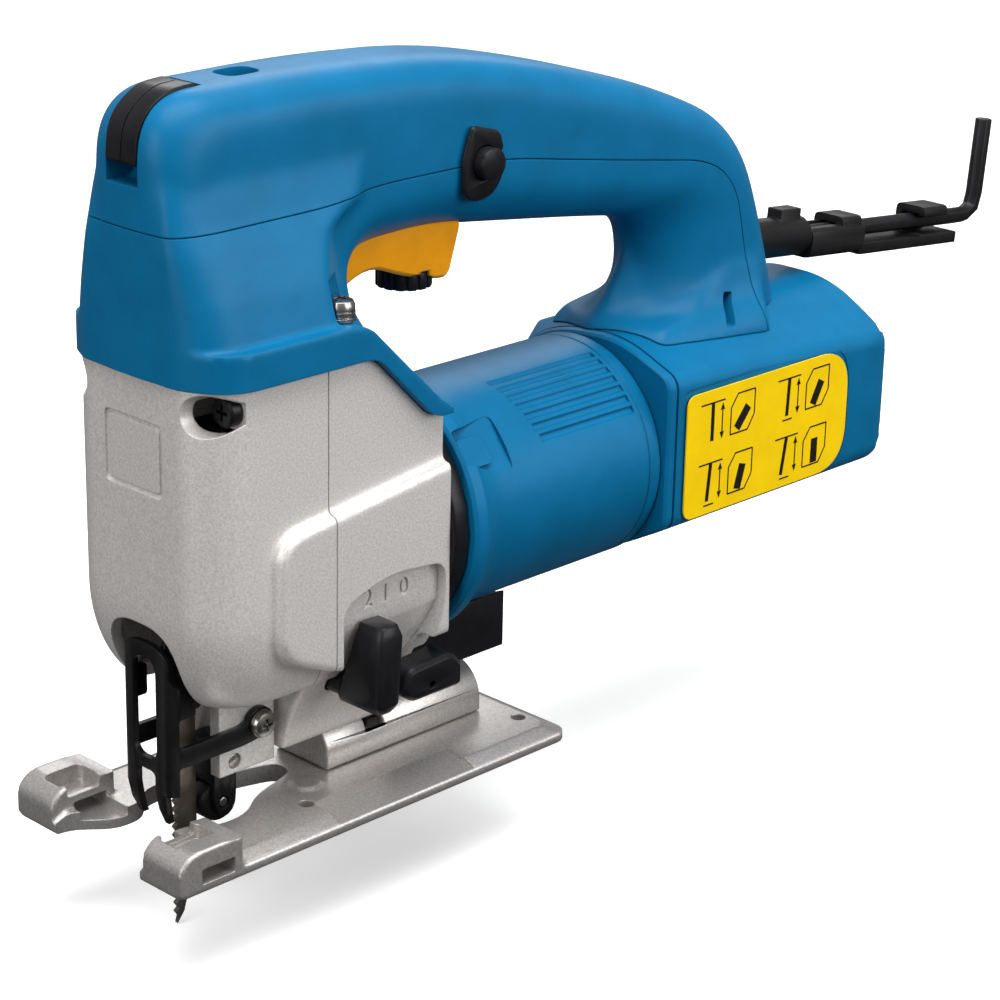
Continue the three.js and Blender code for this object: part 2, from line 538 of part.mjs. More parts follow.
function handleCavities() {
  const upper = prism('y', outline([
    [-6, 172, 4], [-6, 199, 8], [46, 197, 8], [90, 189, 8], [130, 177, 8], [160, 163, 8], [176, 135, 8],
    [183, 116, 2], [172, 116, 2], [168, 150, 8], [150, 164, 8], [60, 173, 4]]), -12.5, 12.5);
  const lower = prism('y', outline([
    [3, 161, 3], [3, 175], [150, 175], [165, 160, 4], [170, 116], [150, 116, 4], [146, 146, 6],
    [60, 160, 4]]),
  -8.6, 8.6);
  const triggerSlot = box(3.4, 55.5, -8.6, 8.6, 130, 170);
  const block = prism('y', outline([[-52, 120], [-16, 120], [-16, 152, 6], [-52, 152, 6]]), -20, 20);
  const pocketHalf = LEVER.half + GAP;
  const leverPocket = join(
    prism('y', outline([
      [-70, 183], [-50, 183, 3], [-46.5, 193, 5], [-42.5, 196.6], [LEVER.x, 200],
      [LEVER.x, 230], [-70, 230]]),
    -pocketHalf, pocketHalf),
    rod('y', LEVER.hub + 0.4, -pocketHalf, pocketHalf, [LEVER.x, LEVER.z], 24));
  return [upper, lower, triggerSlot, block, leverPocket,
    rod('y', 2.3, -11, 11, [LEVER.x, LEVER.z], 12),
    rod('y', 1.8, -13, 13, [TRIGGER_PIVOT.x, TRIGGER_PIVOT.z], 12),
    rod('z', 4.4, 196, 230, [HANDLE_SCREW_X, 0]), rod('z', 2.2, 148, 200, [HANDLE_SCREW_X, 0], 12),
    rod('y', 5.4, -30, -8, [LOCK.x, LOCK.z]),
    bothSides((side) => rod('z', 2.3, 100, 150, [STRAP_SCREW.x, side * STRAP_SCREW.y], 12)),
    bothSides((side) => rod('z', STRAP_SCREW.head + 0.6, STRAP_SCREW.seat, 155,
      [STRAP_SCREW.x, side * STRAP_SCREW.y])),
    guardBore()];
}

// The cord guard's hole through the handle's rear wall, along the guard's drooping axis.
function guardBore() {
  const tool = join(rod('x', 6.9, -16, 30), rod('x', 9.6, -16, -5.6));
  const turnedTool = geometryOf(tool);
  turnedTool.rotateY(KEY_GROUP.droop);
  return turnedTool.translate(KEY_GROUP.x, 0, KEY_GROUP.z);
}

function geometryOf(body) {
  const mesh = body.getMesh();
  const geometry = new THREE.BufferGeometry();
  geometry.setAttribute('position', new THREE.BufferAttribute(new Float32Array(mesh.vertProperties), 3));
  geometry.setIndex(new THREE.BufferAttribute(new Uint32Array(mesh.triVerts), 1));
  return geometry;
}

// ---------------------------------------------------------------- gear teeth
function toothed(teeth, width, phase) {
  const pitch = (MODULE * teeth) / 2;
  const tip = pitch + 0.6 * MODULE;
  const root = pitch - 0.95 * MODULE;
  const step = (Math.PI * 2) / teeth;
  const shape = new THREE.Shape();
  for (let i = 0; i < teeth; i += 1) {
    const centre = i * step + phase;
    const flank = [[root, -0.3], [tip, -0.13], [tip, 0.13], [root, 0.3]];
    for (const [radius, share] of flank) {
      const angle = centre + share * step;
      const at = [radius * Math.cos(angle), radius * Math.sin(angle)];
      if (i === 0 && share === -0.3) shape.moveTo(...at);
      else shape.lineTo(...at);
    }
  }
  shape.closePath();
  return prism('x', shape, width[0], width[1], { curveSegments: 1 });
}

// ---------------------------------------------------------------- base
piece('shoe', shoeBody(), SHOE_METAL);
piece('bevel_cradle', cradleBody(), SHOE_METAL);
piece('bevel_screw', join(
  rod('z', 4.8, 10.5, 15, [CLAMP_X, 0]),
  rod('z', 3, 14, 34, [CLAMP_X, 0])), DARK_STEEL);

// ---------------------------------------------------------------- case and motor housings
piece('front_cover', frontCoverBody(), CAST);
piece('gear_housing', gearHousingBody(), CAST);
piece('flange_ring', turned([
  [CASE.rear + GAP, 29], [CASE.rear + GAP, 35.6], [BARREL.front - GAP, 35.6], [BARREL.front - GAP, 29]], 24)
  .translate(0, 0, MOTOR_Z), BLACK);
piece('motor_barrel', barrelBody(), BLUE);
piece('rear_housing', rearHousingBody(), BLUE);
piece('info_label', prism('y', outline([[121, 57.5, 4], [198, 57.5, 14], [198, 96.5, 14], [121, 96.5, 4]]),
  -REAR.half - 0.8, -REAR.half - GAP, { curveSegments: 4 }), YELLOW);
piece('dust_duct', cut(
  box(29, 68, -14, 14, 26, 46),
  box(20, 80, -11.5, 11.5, 28.5, 38.5),
  rod('x', BARREL.ring + GAP, 20, 43.2, [0, MOTOR_Z], 40),
  rod('x', BARREL.radius + 0.9, 39, 90, [0, MOTOR_Z], 40),
  rod('x', 36, 20, 34, [0, MOTOR_Z], 40)), BLACK);

// ---------------------------------------------------------------- handle shells
const handle = cut(handleBody(), ...handleCavities());
piece('handle_upper_shell', common(handle, prism('y', splitRegion(GAP / 2), -60, 60)), BLUE);
piece('handle_lower_shell', cut(handle, prism('y', splitRegion(-GAP / 2), -60, 60)), BLUE);

// ---------------------------------------------------------------- fasteners
for (const [side, label] of [[-1, 'left'], [1, 'right']]) {
  const y = side * CASE_SCREW.y;
  piece(`case_screw_${label}`, join(rod('x', 4.2, -47.8, -44.3, [y, CASE_SCREW.z], 14),
    rod('x', 2, -45, -11.5, [y, CASE_SCREW.z], 8)), DARK_STEEL);
  const strapAt = [STRAP_SCREW.x, side * STRAP_SCREW.y];
  const { seat, head } = STRAP_SCREW;
  piece(`strap_screw_${label}`, join(
    rod('z', head, seat + GAP, seat + 1.6, strapAt, 16),
    rod('z', head - 0.7, seat + 1.6, seat + 6.4, strapAt, 16),
    rod('z', 1.8, 119, seat + 1, strapAt, 10)), STEEL);
  const guardAt = [GUARD_SCREW.x, GUARD_SCREW.z];
  piece(`guard_screw_${label}`, join(
    rod('y', 4, ...span(side * (GUARD.half + GAP), side * 14), guardAt, 16),
    rod('y', 1.8, ...span(side * 3, side * 12), guardAt, 10)), STEEL);
}
piece('handle_screw', join(
  rod('z', 3.9, 196.3, 200, [HANDLE_SCREW_X, 0], 14),
  rod('z', 1.9, 152, 197, [HANDLE_SCREW_X, 0], 8)), DARK_STEEL);

// ---------------------------------------------------------------- motor
const motor = subgroup(0, 0, MOTOR_Z);
const pinionPhase = Math.PI / 2 - Math.PI / PINION_TEETH;
piece('motor_shaft', join(
  rod('x', 4.5, -19.5, 178),
  toothed(PINION_TEETH, [-28.5, -19], pinionPhase)), STEEL, motor);
piece('front_bearing', turned([[-8.9, 4.8], [-8.9, 13], [0.6, 13], [0.6, 4.8]]), STEEL, motor);
piece('rear_bearing', turned([[169, 4.8], [169, 13], [178.4, 13], [178.4, 4.8]]), STEEL, motor);
// `count` copies of a tool, turned evenly about the X axis.
const around = (count, make) =>
  Array.from({ length: count }, (_, i) => make().rotateX((i / count) * Math.PI * 2));
piece('armature_core', cut(
  turned([[57, 4.8], [57, 18], [98, 18], [98, 4.8]], 24),
  ...around(12, () => box(50, 110, -0.9, 0.9, 12, 20))), STEEL, motor);
piece('commutator', turned([[128, 4.8], [128, 12], [150, 12], [150, 4.8]], 20), COPPER, motor);
piece('cooling_fan', cut(join(
  rod('x', 10, 6, 22),
  rod('x', 26, 19.5, 21.5, [0, 0], 24),
  ...around(9, () => box(7, 20, -0.8, 0.8, 9, 25.5))), rod('x', 4.8, 0, 30)), BLACK, motor);
piece('stator_core', cut(
  common(rod('x', 30.8, 56, 99, [0, 0], 32), box(50, 120, -27, 27, -31, 31)),
  rod('x', 19, 50, 120, [0, 0], 24)), STEEL, motor);
for (const [side, label] of [[1, 'upper'], [-1, 'lower']]) {
  const radial = (inner, outer) => span(side * inner, side * outer);
  piece(`brush_${label}`, box(136, 142, -4, 4, ...radial(12.3, 23.5)), CARBON, motor);
  piece(`brush_holder_${label}`, cut(box(134, 144, -6, 6, ...radial(15, 25.5)),
    box(136 - GAP, 142 + GAP, -4.3, 4.3, ...radial(10, 24))), BRASS, motor);
}

// ---------------------------------------------------------------- crank drive and plunger
const crank = subgroup(0, 0, GEAR_Z);
piece('crank_gear', cut(
  join(toothed(GEAR_TEETH, [-28, -20], -Math.PI / 2), rod('x', 9, -29.7, -12)),
  rod('x', 4.3, -40, 0),
  ...around(5, () => rod('x', 3, -40, 0, [0, 14.5], 8))), STEEL, crank);
piece('gear_pin', rod('x', 4, -30.6, -3), STEEL, crank);
piece('crank_roller', rod('x', 4, -36.2, -30.1, [STROKE / 2, 0]), STEEL, crank);
const rodRadius = 5;
const rodHole = (z0, z1) => rod('z', rodRadius + GAP, z0, z1, [PLUNGER_X, 0]);
piece('plunger_yoke', cut(
  join(box(-36.6, -31.6, -22, 22, -7, 7), box(-49.5, -36, -7, 7, -7, 7)),
  prism('x', outline([[-18, -4.3, 4], [18, -4.3, 4], [18, 4.3, 4], [-18, 4.3, 4]]), -40, -20),
  rodHole(-10, 10)), STEEL, crank);
piece('plunger_rod', rod('z', rodRadius, 52.3, 136, [PLUNGER_X, 0]), STEEL);
piece('upper_rod_bush', cut(rod('z', 7, 121.2, 131.2, [PLUNGER_X, 0]), rodHole(100, 140)), BRASS);
piece('lower_rod_bush', cut(rod('z', 7, 68, 77, [PLUNGER_X, 0]), rodHole(50, 100)), BRASS);
const shankHalf = BLADE.thickness / 2 + GAP;
piece('blade_clamp', cut(
  join(rod('z', 6.3, 38, 52, [PLUNGER_X, 0]), rod('z', 5.4, 36, 39, [PLUNGER_X, 0])),
  box(BLADE.front - 0.5, BLADE.back + 0.5, -shankHalf, shankHalf, 30, 50.3)), DARK_STEEL);

function bladeBody() {
  const shape = new THREE.Shape();
  const { front, back, tip, pitch } = BLADE;
  shape.moveTo(back, 50);
  shape.lineTo(front + 1, 50);
  shape.lineTo(front + 1, 24);
  shape.lineTo(front + 1.2, 22);
  const teeth = Math.floor((22 - tip) / pitch);
  for (let i = 0; i < teeth; i += 1) {
    const top = 22 - i * pitch;
    shape.lineTo(front, top - pitch * 0.35);
    shape.lineTo(front + 1.2, top - pitch);
  }
  shape.lineTo(front + 0.6, tip);
  shape.lineTo(front + 3, tip + 3);
  shape.lineTo(front + 4.2, tip + 7);
  shape.lineTo(back, tip + 8);
  shape.closePath();
  return prism('y', shape, -BLADE.thickness / 2, BLADE.thickness / 2);
}
piece('blade', bladeBody(), STEEL);

// ---------------------------------------------------------------- blade guide and pendulum
const pivotHole = (radius) => rod('y', radius, -20, 20, [FORK_PIVOT.x, FORK_PIVOT.z], 14);
const axleHole = (radius) => rod('y', radius, -20, 20, [ROLLER.x, ROLLER.z], 12);
const guardScrewHole = rod('y', 2.1, -20, 20, [GUARD_SCREW.x, GUARD_SCREW.z], 12);
piece('guide_bracket', cut(
  box(BRACKET.front, BRACKET.rear, -BRACKET.half, BRACKET.half, BRACKET.bottom, BRACKET.top),
  box(-40, -27, -5.2, 5.2, 0, 60),
  pivotHole(2.3), guardScrewHole), CAST);
piece('guide_pin', rod('y', 2, -8.6, 8.6, [FORK_PIVOT.x, FORK_PIVOT.z], 14), STEEL);
const forkSide = outline([
  [-35.4, 24, 2], [-28.2, 24, 2], [-27.6, 14, 2], [-27.8, 2, 4], [-33, -0.6, 4], [-35.6, 6, 3],
  [-35.4, 14]]);
const rollerRoom = common(
  rod('y', ROLLER.radius + 0.9, -3.2, 3.2, [ROLLER.x, ROLLER.z]),
  box(-50, 0, -3.2, 3.2, -10, 30));
piece('roller_fork', cut(
  prism('y', forkSide, -4.8, 4.8),
  rollerRoom, pivotHole(2.3), axleHole(1.8)), BLACK);
piece('guide_roller', cut(rod('y', ROLLER.radius, -2.9, 2.9, [ROLLER.x, ROLLER.z], 24), axleHole(1.8)),
  DARK_STEEL);
piece('roller_pin', rod('y', 1.5, -4.6, 4.6, [ROLLER.x, ROLLER.z], 12), STEEL);

// A sheet bent round the blade, with an arched slot in front and an arm back to each screw.
function guardBody() {
  const { front, rear, half, corner, sheet, top, legs, tip } = GUARD;
  const [innerFront, innerHalf] = [front + sheet, half - sheet];
  const bend = corner - sheet;
  const plan = outline([
    [rear, -half], [front, -half, corner], [front, half, corner], [rear, half],
    [rear, innerHalf], [innerFront, innerHalf, bend], [innerFront, -innerHalf, bend], [rear, -innerHalf]]);
  const sheetMetal = prism('z', plan, legs, top, { curveSegments: 4 });
  const side = outline([
    [-60, legs - 1], [-52.2, legs - 1], [-52.2, 23.4, 1], [-30, 23.4, 2], [-23.5, 24.2, 4], [-20, 24.2],
    [-20, 32.8], [-23.5, 32.8, 4], [-30, 29, 2], [-52.2, 29, 1.5], [-52.2, 37.6, 1], [-46.8, 37.6, 1],
    [-46.8, 46.6, 1], [-50.5, 46.6], [-50.5, top + 1], [-60, top + 1]]);
  const arch = outline([
    [-12, 0], [-12, 46.6], [-9.2, 47.6, 1.5], [-9.2, top, 9], [9.2, top, 9], [9.2, 47.6, 1.5], [12, 46.6],
    [12, 0]]);
  const slot = outline([[-4.8, 24.4, 4], [-4.8, 53.8, 4.6], [4.8, 53.8, 4.6], [4.8, 24.4, 4]]);
  const gap = outline([[-3.9, 0], [-3.9, 21, 2], [3.9, 21, 2], [3.9, 0]]);
  const ears = bothSides((sign) =>
    rod('y', 4.6, ...span(sign * innerHalf, sign * half), [GUARD_SCREW.x, GUARD_SCREW.z], 16));
  // The legs lean back and narrow below the sheet's straight part.
  const legRing = (sign, z, near, far, face) => [
    [face, sign * near, z], [face, sign * far, z],
    [face + sheet, sign * far, z], [face + sheet, sign * near, z]];
  const legTips = bothSides((sign) => loft([
    legRing(sign, legs + 0.5, 3.9, 8, front), legRing(sign, 10, 4, 7.6, front + 1),
    legRing(sign, tip, 4.6, 6.2, front + 2.6)], 2));
  const kept = common(common(sheetMetal, prism('y', side, -20, 20)), prism('x', arch, -70, 0));
  return cut(join(kept, ears, legTips),
    prism('x', slot, -70, -48), prism('x', gap, -70, -48), guardScrewHole);
}
piece('chip_guard', guardBody(), BLACK);

// ---------------------------------------------------------------- controls
function selectorBody() {
  const ring = (z, x0, x1, outer, inner) => ringPoints(
    outline([[x0, outer, 2], [x1, outer, 2], [x1, inner], [x0, inner]]), 2).map((p) => [p.x, p.y, z]);
  const knob = loft([
    ring(33.5, -5.5, 0.5, -38.5, -23), ring(36, -6.8, 1.6, -40, -23.5), ring(56, -7.2, 2, -41, -31),
    ring(59.5, -5.8, 1, -40, -31.2)], 2);
  return join(knob, rod('y', 4, -26, -13.6, [SELECTOR.x, SELECTOR.z]));
}
piece('selector_lever', selectorBody(), BLACK);

const blowerSide = outline([
  [8, 34, 2], [10, 41, 3], [27, 42, 2.5], [31, 37.5, 1.5], [31, 31, 1.5], [12, 30.9, 2]]);
piece('blower_lever', cut(
  join(pillow('y', blowerSide, -34.5, -25, 1.2, 1), rod('y', 3, -26, -12.6, [BLOWER.x, BLOWER.z])),
  rod('y', 1.2, -40, -30, [BLOWER.x, BLOWER.z], 10)), BLACK);

const lockOutline = outline([
  [43.2, 166.5, 3], [43, 176.5, 2], [46.2, 186, 2], [57.2, 183, 2], [58.7, 178.5, 1], [57.2, 175.5, 1],
  [58.7, 170.5, 2], [55.2, 165.5, 3], [48.2, 164, 3]]);
piece('lock_plate', cut(pillow('y', lockOutline, -19.6, -HANDLE.half - GAP, 0.6, 1),
  rod('y', 4.9, -30, -8, [LOCK.x, LOCK.z])), BLACK);
piece('lock_button', join(rod('y', 4.6, -23, -11, [LOCK.x, LOCK.z], 20)), BLACK);

const triggerSide = outline([
  [6.6, 148, 2], [6.8, 160, 3], [10, 167, 3], [18, 167, 4], [22, 163, 2], [52, 163, 2], [54, 155, 2],
  [49.5, 140.5, 3], [44, 141, 2], [31, 144.2, 6], [19.5, 149, 6], [9, 144.5, 2]]);
piece('trigger', cut(
  pillow('y', triggerSide, -8.2, 8.2, 1, 1),
  rod('y', 1.8, -20, 20, [TRIGGER_PIVOT.x, TRIGGER_PIVOT.z], 12),
  rod('z', DIAL.radius + 0.4, 130, DIAL.z + 3.6, [DIAL.x, 0]),
  rod('z', 2.4, 134, 154, [DIAL.x, 0], 14)), AMBER);

function dialBody() {
  const notches = 14;
  const tools = Array.from({ length: notches }, (_, i) => {
    const notch = box(DIAL.radius - 0.6, DIAL.radius + 1, -0.45, 0.45, 130, 150);
    return notch.rotateZ((i / notches) * Math.PI * 2).translate(DIAL.x, 0, 0);
  });
  const wheel = rod('z', DIAL.radius, DIAL.z - 1.8, DIAL.z + 3.2, [DIAL.x, 0], 28);
  return join(cut(wheel, ...tools), rod('z', 2.1, DIAL.z, 153, [DIAL.x, 0], 14));
}
piece('speed_dial', dialBody(), BLACK);
piece('trigger_pin', rod('y', 1.5, -12.4, 12.4, [TRIGGER_PIVOT.x, TRIGGER_PIVOT.z], 12), STEEL);
piece('switch_body', join(box(20, 60, -8.2, 8.2, 174, 193), box(30, 36, -3, 3, 168.2, 175)), BLACK);

const leverSide = outline([
  [LEVER.x, LEVER.z + LEVER.hub], [-49, 206.4, 9], [-57.8, 199.3, 6], [-58.9, 188.5, 1], [-54.5, 187.2, 1],
  [-52.5, 195.5, 5], [-45.5, 199.5, 3], [LEVER.x, LEVER.z - LEVER.hub + 1]]);
piece('release_lever', cut(
  join(
    prism('y', leverSide, -LEVER.half, LEVER.half, { curveSegments: 5 }),
    rod('y', LEVER.hub, -LEVER.half, LEVER.half, [LEVER.x, LEVER.z], 24)),
  rod('y', 2.3, -20, 20, [LEVER.x, LEVER.z], 12)), BLACK);
piece('release_pin', rod('y', 2, -10.6, 10.6, [LEVER.x, LEVER.z], 12), STEEL);

// ---------------------------------------------------------------- cord guard and hex key
const keyGroup = subgroup(KEY_GROUP.x, 0, KEY_GROUP.z);
keyGroup.rotation.y = KEY_GROUP.droop;
piece('cord_guard', cut(
  join(rod('x', 6.5, -10, 22), rod('x', 9, -10, -6), box(9, 19, -3, 3, 5, 9.4)),
  rod('x', 3.6, -20, 30)), RUBBER, keyGroup);
const holder = join(
  prism('x', outline([[-6.5, -7, 3], [6.5, -7, 3], [6.5, 3, 3], [-6.5, 3, 3]]), 22.3, 50),
  prism('z', outline([[48, -6.5, 1], [103, -6.5, 2], [103, 6.5, 2], [48, 6.5, 1]]), -7.5, -4),
  prism('x', outline([[-6, -5], [-6, 5.5, 2], [6, 5.5, 2], [6, -5]]), 38, 48),
  prism('x', outline([[-6, -5], [-6, 5.5, 2], [6, 5.5, 2], [6, -5]]), 83, 96));
piece('key_holder', cut(holder, box(25, 110, -3.4, 3.4, -3.7, 3), box(50, 110, -8, -2, -3.7, 2.2),
  box(25, 37.6, -3.4, 3.4, -3.7, 9)), RUBBER, keyGroup);

function keyBody() {
  const across = KEY.flats / Math.sqrt(3);
  const hex = new THREE.Shape();
  for (let i = 0; i < 6; i += 1) {
    const angle = (i / 6) * Math.PI * 2;
    const at = [across * Math.cos(angle), across * Math.sin(angle)];
    if (i === 0) hex.moveTo(...at);
    else hex.lineTo(...at);
  }
  hex.closePath();
  const path = new THREE.CurvePath();
  const straight = (a, b) =>
    path.add(new THREE.LineCurve3(new THREE.Vector3(...a), new THREE.Vector3(...b)));
  const bendX = KEY.bend + KEY.radius;
  straight([KEY.start, 0, 0], [KEY.bend, 0, 0]);
  path.add(new THREE.QuadraticBezierCurve3(new THREE.Vector3(KEY.bend, 0, 0),
    new THREE.Vector3(bendX, 0, 0), new THREE.Vector3(bendX, 0, KEY.radius)));
  straight([bendX, 0, KEY.radius], [bendX, 0, KEY.rise]);
  return new THREE.ExtrudeGeometry(hex, { extrudePath: path, steps: 24, bevelEnabled: false });
}
piece('hex_key', keyBody(), DARK_STEEL, keyGroup);

export default group;
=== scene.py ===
import json
import math

import bmesh
import bpy
import numpy as np
from mathutils import Matrix, Quaternion, Vector


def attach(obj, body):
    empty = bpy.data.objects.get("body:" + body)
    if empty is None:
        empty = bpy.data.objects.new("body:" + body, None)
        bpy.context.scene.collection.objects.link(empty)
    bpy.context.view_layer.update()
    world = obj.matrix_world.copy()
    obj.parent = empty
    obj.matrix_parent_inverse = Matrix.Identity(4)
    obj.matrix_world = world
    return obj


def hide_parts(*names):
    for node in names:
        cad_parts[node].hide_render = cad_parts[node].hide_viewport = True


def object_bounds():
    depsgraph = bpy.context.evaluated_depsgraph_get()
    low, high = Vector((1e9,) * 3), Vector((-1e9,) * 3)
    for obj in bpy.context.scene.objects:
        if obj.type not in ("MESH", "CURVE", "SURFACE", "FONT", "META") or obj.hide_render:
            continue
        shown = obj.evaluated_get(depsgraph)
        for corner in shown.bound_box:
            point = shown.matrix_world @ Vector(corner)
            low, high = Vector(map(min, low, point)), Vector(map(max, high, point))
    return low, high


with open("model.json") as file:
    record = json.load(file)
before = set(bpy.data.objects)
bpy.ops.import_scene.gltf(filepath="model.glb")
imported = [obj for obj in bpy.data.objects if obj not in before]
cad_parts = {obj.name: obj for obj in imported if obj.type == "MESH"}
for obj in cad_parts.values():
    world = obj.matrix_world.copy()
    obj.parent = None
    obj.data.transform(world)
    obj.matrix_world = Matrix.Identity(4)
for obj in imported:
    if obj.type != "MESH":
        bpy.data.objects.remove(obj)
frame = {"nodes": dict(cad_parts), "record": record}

CAD_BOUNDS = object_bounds()
MM = 0.001  # the numbers below are in millimetres, in the row frame

# ---------------------------------------------------------------- sizes shared with the CAD
GAP = 0.3
MOTOR_Z = 75.3
SHOE_FRONT, SHOE_REAR, SHOE_HALF, SHOE_TOP = -72.7, 75.2, 35.3, 5.4
CASE_FRONT, CASE_SEAM, CASE_REAR, CASE_HALF, CASE_NOSE = -57, -16, 26, 30, 16.7
CASE_TOP, CASE_BOTTOM, CASE_WALL = 133, 40, 3.5
BARREL_FRONT, BARREL_REAR, BARREL_R, BARREL_RING = 32, 113, 34.1, 38
REAR_FRONT, REAR_TAPER, REAR_END, REAR_HALF, REAR_TOP, REAR_BOTTOM = 113.3, 214, 224, 36, 111.5, 45
REAR_SQUARED, REAR_SHOULDER = 131, 36
CREASE_FRONT, CREASE_REAR = 105.5, 99
HANDLE_HALF, HANDLE_FRONT, HANDLE_SCREW_X = 17.5, -58.5, -21
LEVER_X, LEVER_Z, LEVER_HUB, LEVER_HALF = -40.8, 201.8, 5.2, 5.9
PLUNGER_X, GEAR_Z = -42.5, 100.3
CASE_SCREW_Y, CASE_SCREW_Z, CASE_SCREW_RECESS = 24.6, 126.6, 5.7
STRAP_X, STRAP_Y, STRAP_SEAT, STRAP_HEAD = -7.5, 25.2, 143.2, 4.2
KEY_X, KEY_Z, KEY_DROOP = 193, 124.5, math.radians(5.5)
TRIGGER_PIVOT, LOCK_CENTRE = (12, 163), (51.3, 175)
SELECTOR_PIVOT, BLOWER_PIVOT = (-2.7, 38), (19, 34.5)
GUARD_SCREW = (-24, 28.5)
STAMP_TILT = 52  # degrees from the top to the barrel's recess, round the motor axis


# ---------------------------------------------------------------- meshes
def add(name, points, faces):
    """A closed mesh object from millimetre points, with its faces turned outwards."""
    mesh = bpy.data.meshes.new(name)
    mesh.from_pydata([tuple(float(v) * MM for v in p) for p in points], [], faces)
    work = bmesh.new()
    work.from_mesh(mesh)
    bmesh.ops.remove_doubles(work, verts=work.verts, dist=1e-7)
    bmesh.ops.recalc_face_normals(work, faces=work.faces)
    work.to_mesh(mesh)
    work.free()
    obj = bpy.data.objects.new(name, mesh)
    bpy.context.scene.collection.objects.link(obj)
    return obj


def outline(corners, steps=8):
    """Points of a closed outline through corners (u, v, fillet)."""
    points = []
    for i, corner in enumerate(corners):
        here = np.array(corner[:2], float)
        fillet = corner[2] if len(corner) > 2 else 0
        if not fillet:
            points.append(here)
            continue
        ends = []
        for other in (corners[i - 1], corners[(i + 1) % len(corners)]):
            way = np.array(other[:2], float) - here
            length = np.linalg.norm(way)
            ends.append(here + way / length * min(fillet, length * 0.49))
        for k in range(steps + 1):
            t = k / steps
            points.append((1 - t) ** 2 * ends[0] + 2 * t * (1 - t) * here + t * t * ends[1])
    return points


def arc(radius, centre, start, end, steps):
    angles = np.radians(np.linspace(start, end, steps + 1))
    return [(centre[0] + radius * math.cos(a), centre[1] + radius * math.sin(a)) for a in angles]


def place(axis, u, v, w):
    return {"x": (w, u, v), "y": (u, w, v), "z": (u, v, w)}[axis]


def loft(rings):
    """A closed body through matching rings of (x, y, z)."""
    count = len(rings[0])
    points = [p for ring in rings for p in ring]
    faces = [tuple(range(count)), tuple((len(rings) - 1) * count + i for i in range(count))]
    for r in range(len(rings) - 1):
        for i in range(count):
            a, b = r * count + i, r * count + (i + 1) % count
            faces.append((a, b, b + count, a + count))
    return add("loft", points, faces)


def prism(axis, points, start, end):
    return loft([[place(axis, p[0], p[1], w) for p in points] for w in (start, end)])


def rod(axis, radius, start, end, centre=(0, 0), sides=48):
    return prism(axis, arc(radius, centre, 0, 360 - 360 / sides, sides - 1), start, end)


def block(x0, x1, y0, y1, z0, z1):
    return prism("z", [(x0, y0), (x1, y0), (x1, y1), (x0, y1)], z0, z1)


def turned(profile, centre=(0, 0), sides=96):
    """A body turned about X from a closed profile of (x, radius)."""
    count = len(profile)
    points, faces = [], []
    for s in range(sides):
        angle = 2 * math.pi * s / sides
        points += [(x, centre[0] + r * math.sin(angle), centre[1] + r * math.cos(angle)) for x, r in profile]
        for i in range(count):
            j, t = (i + 1) % count, (s + 1) % sides
            faces.append((s * count + i, s * count + j, t * count + j, t * count + i))
    return add("turned", points, faces)


# ---------------------------------------------------------------- solid work
def bake(obj):
    graph = bpy.context.evaluated_depsgraph_get()
    mesh = bpy.data.meshes.new_from_object(obj.evaluated_get(graph))
    obj.modifiers.clear()
    obj.data = mesh
    return obj


def drop(obj):
    bpy.data.objects.remove(obj, do_unlink=True)


def combine(obj, tool, operation):
    change = obj.modifiers.new(operation, "BOOLEAN")
    change.operation = operation
    change.solver = "MANIFOLD"
    change.object = tool
    bake(obj)
    drop(tool)
    return obj


def cut(obj, *tools):
    for tool in tools:
        combine(obj, tool, "DIFFERENCE")
    return obj


def join(obj, *others):
    for other in others:
        combine(obj, other, "UNION")
    return obj


def common(obj, tool):
    return combine(obj, tool, "INTERSECT")


def copy(obj):
    twin = obj.copy()
    twin.data = obj.data.copy()
    bpy.context.scene.collection.objects.link(twin)
    return twin


def soften(obj, voxel, passes):
    """Rebuilds the surface on a fine grid and relaxes it, which rounds edges and blends joins."""
    grid = obj.modifiers.new("grid", "REMESH")
    grid.mode = "VOXEL"
    grid.voxel_size = voxel * MM
    relax = obj.modifiers.new("relax", "SMOOTH")
    relax.iterations = passes
    relax.factor = 0.5
    return bake(obj)


def bevel(obj, width, segments=2, angle=32):
    """Rounds the edges sharper than `angle` degrees."""
    work = bmesh.new()
    work.from_mesh(obj.data)
    bmesh.ops.dissolve_limit(work, angle_limit=math.radians(0.6), verts=work.verts, edges=work.edges)
    work.to_mesh(obj.data)
    work.free()
    rounding = obj.modifiers.new("edges", "BEVEL")
    rounding.width = width * MM
    rounding.segments = segments
    rounding.limit_method = "ANGLE"
    rounding.angle_limit = math.radians(angle)
    rounding.use_clamp_overlap = True
    return bake(obj)


def both(make, *rest):
    """The piece made for the left side and the same for the right, as a list."""
    return [make(-1, *rest), make(1, *rest)]


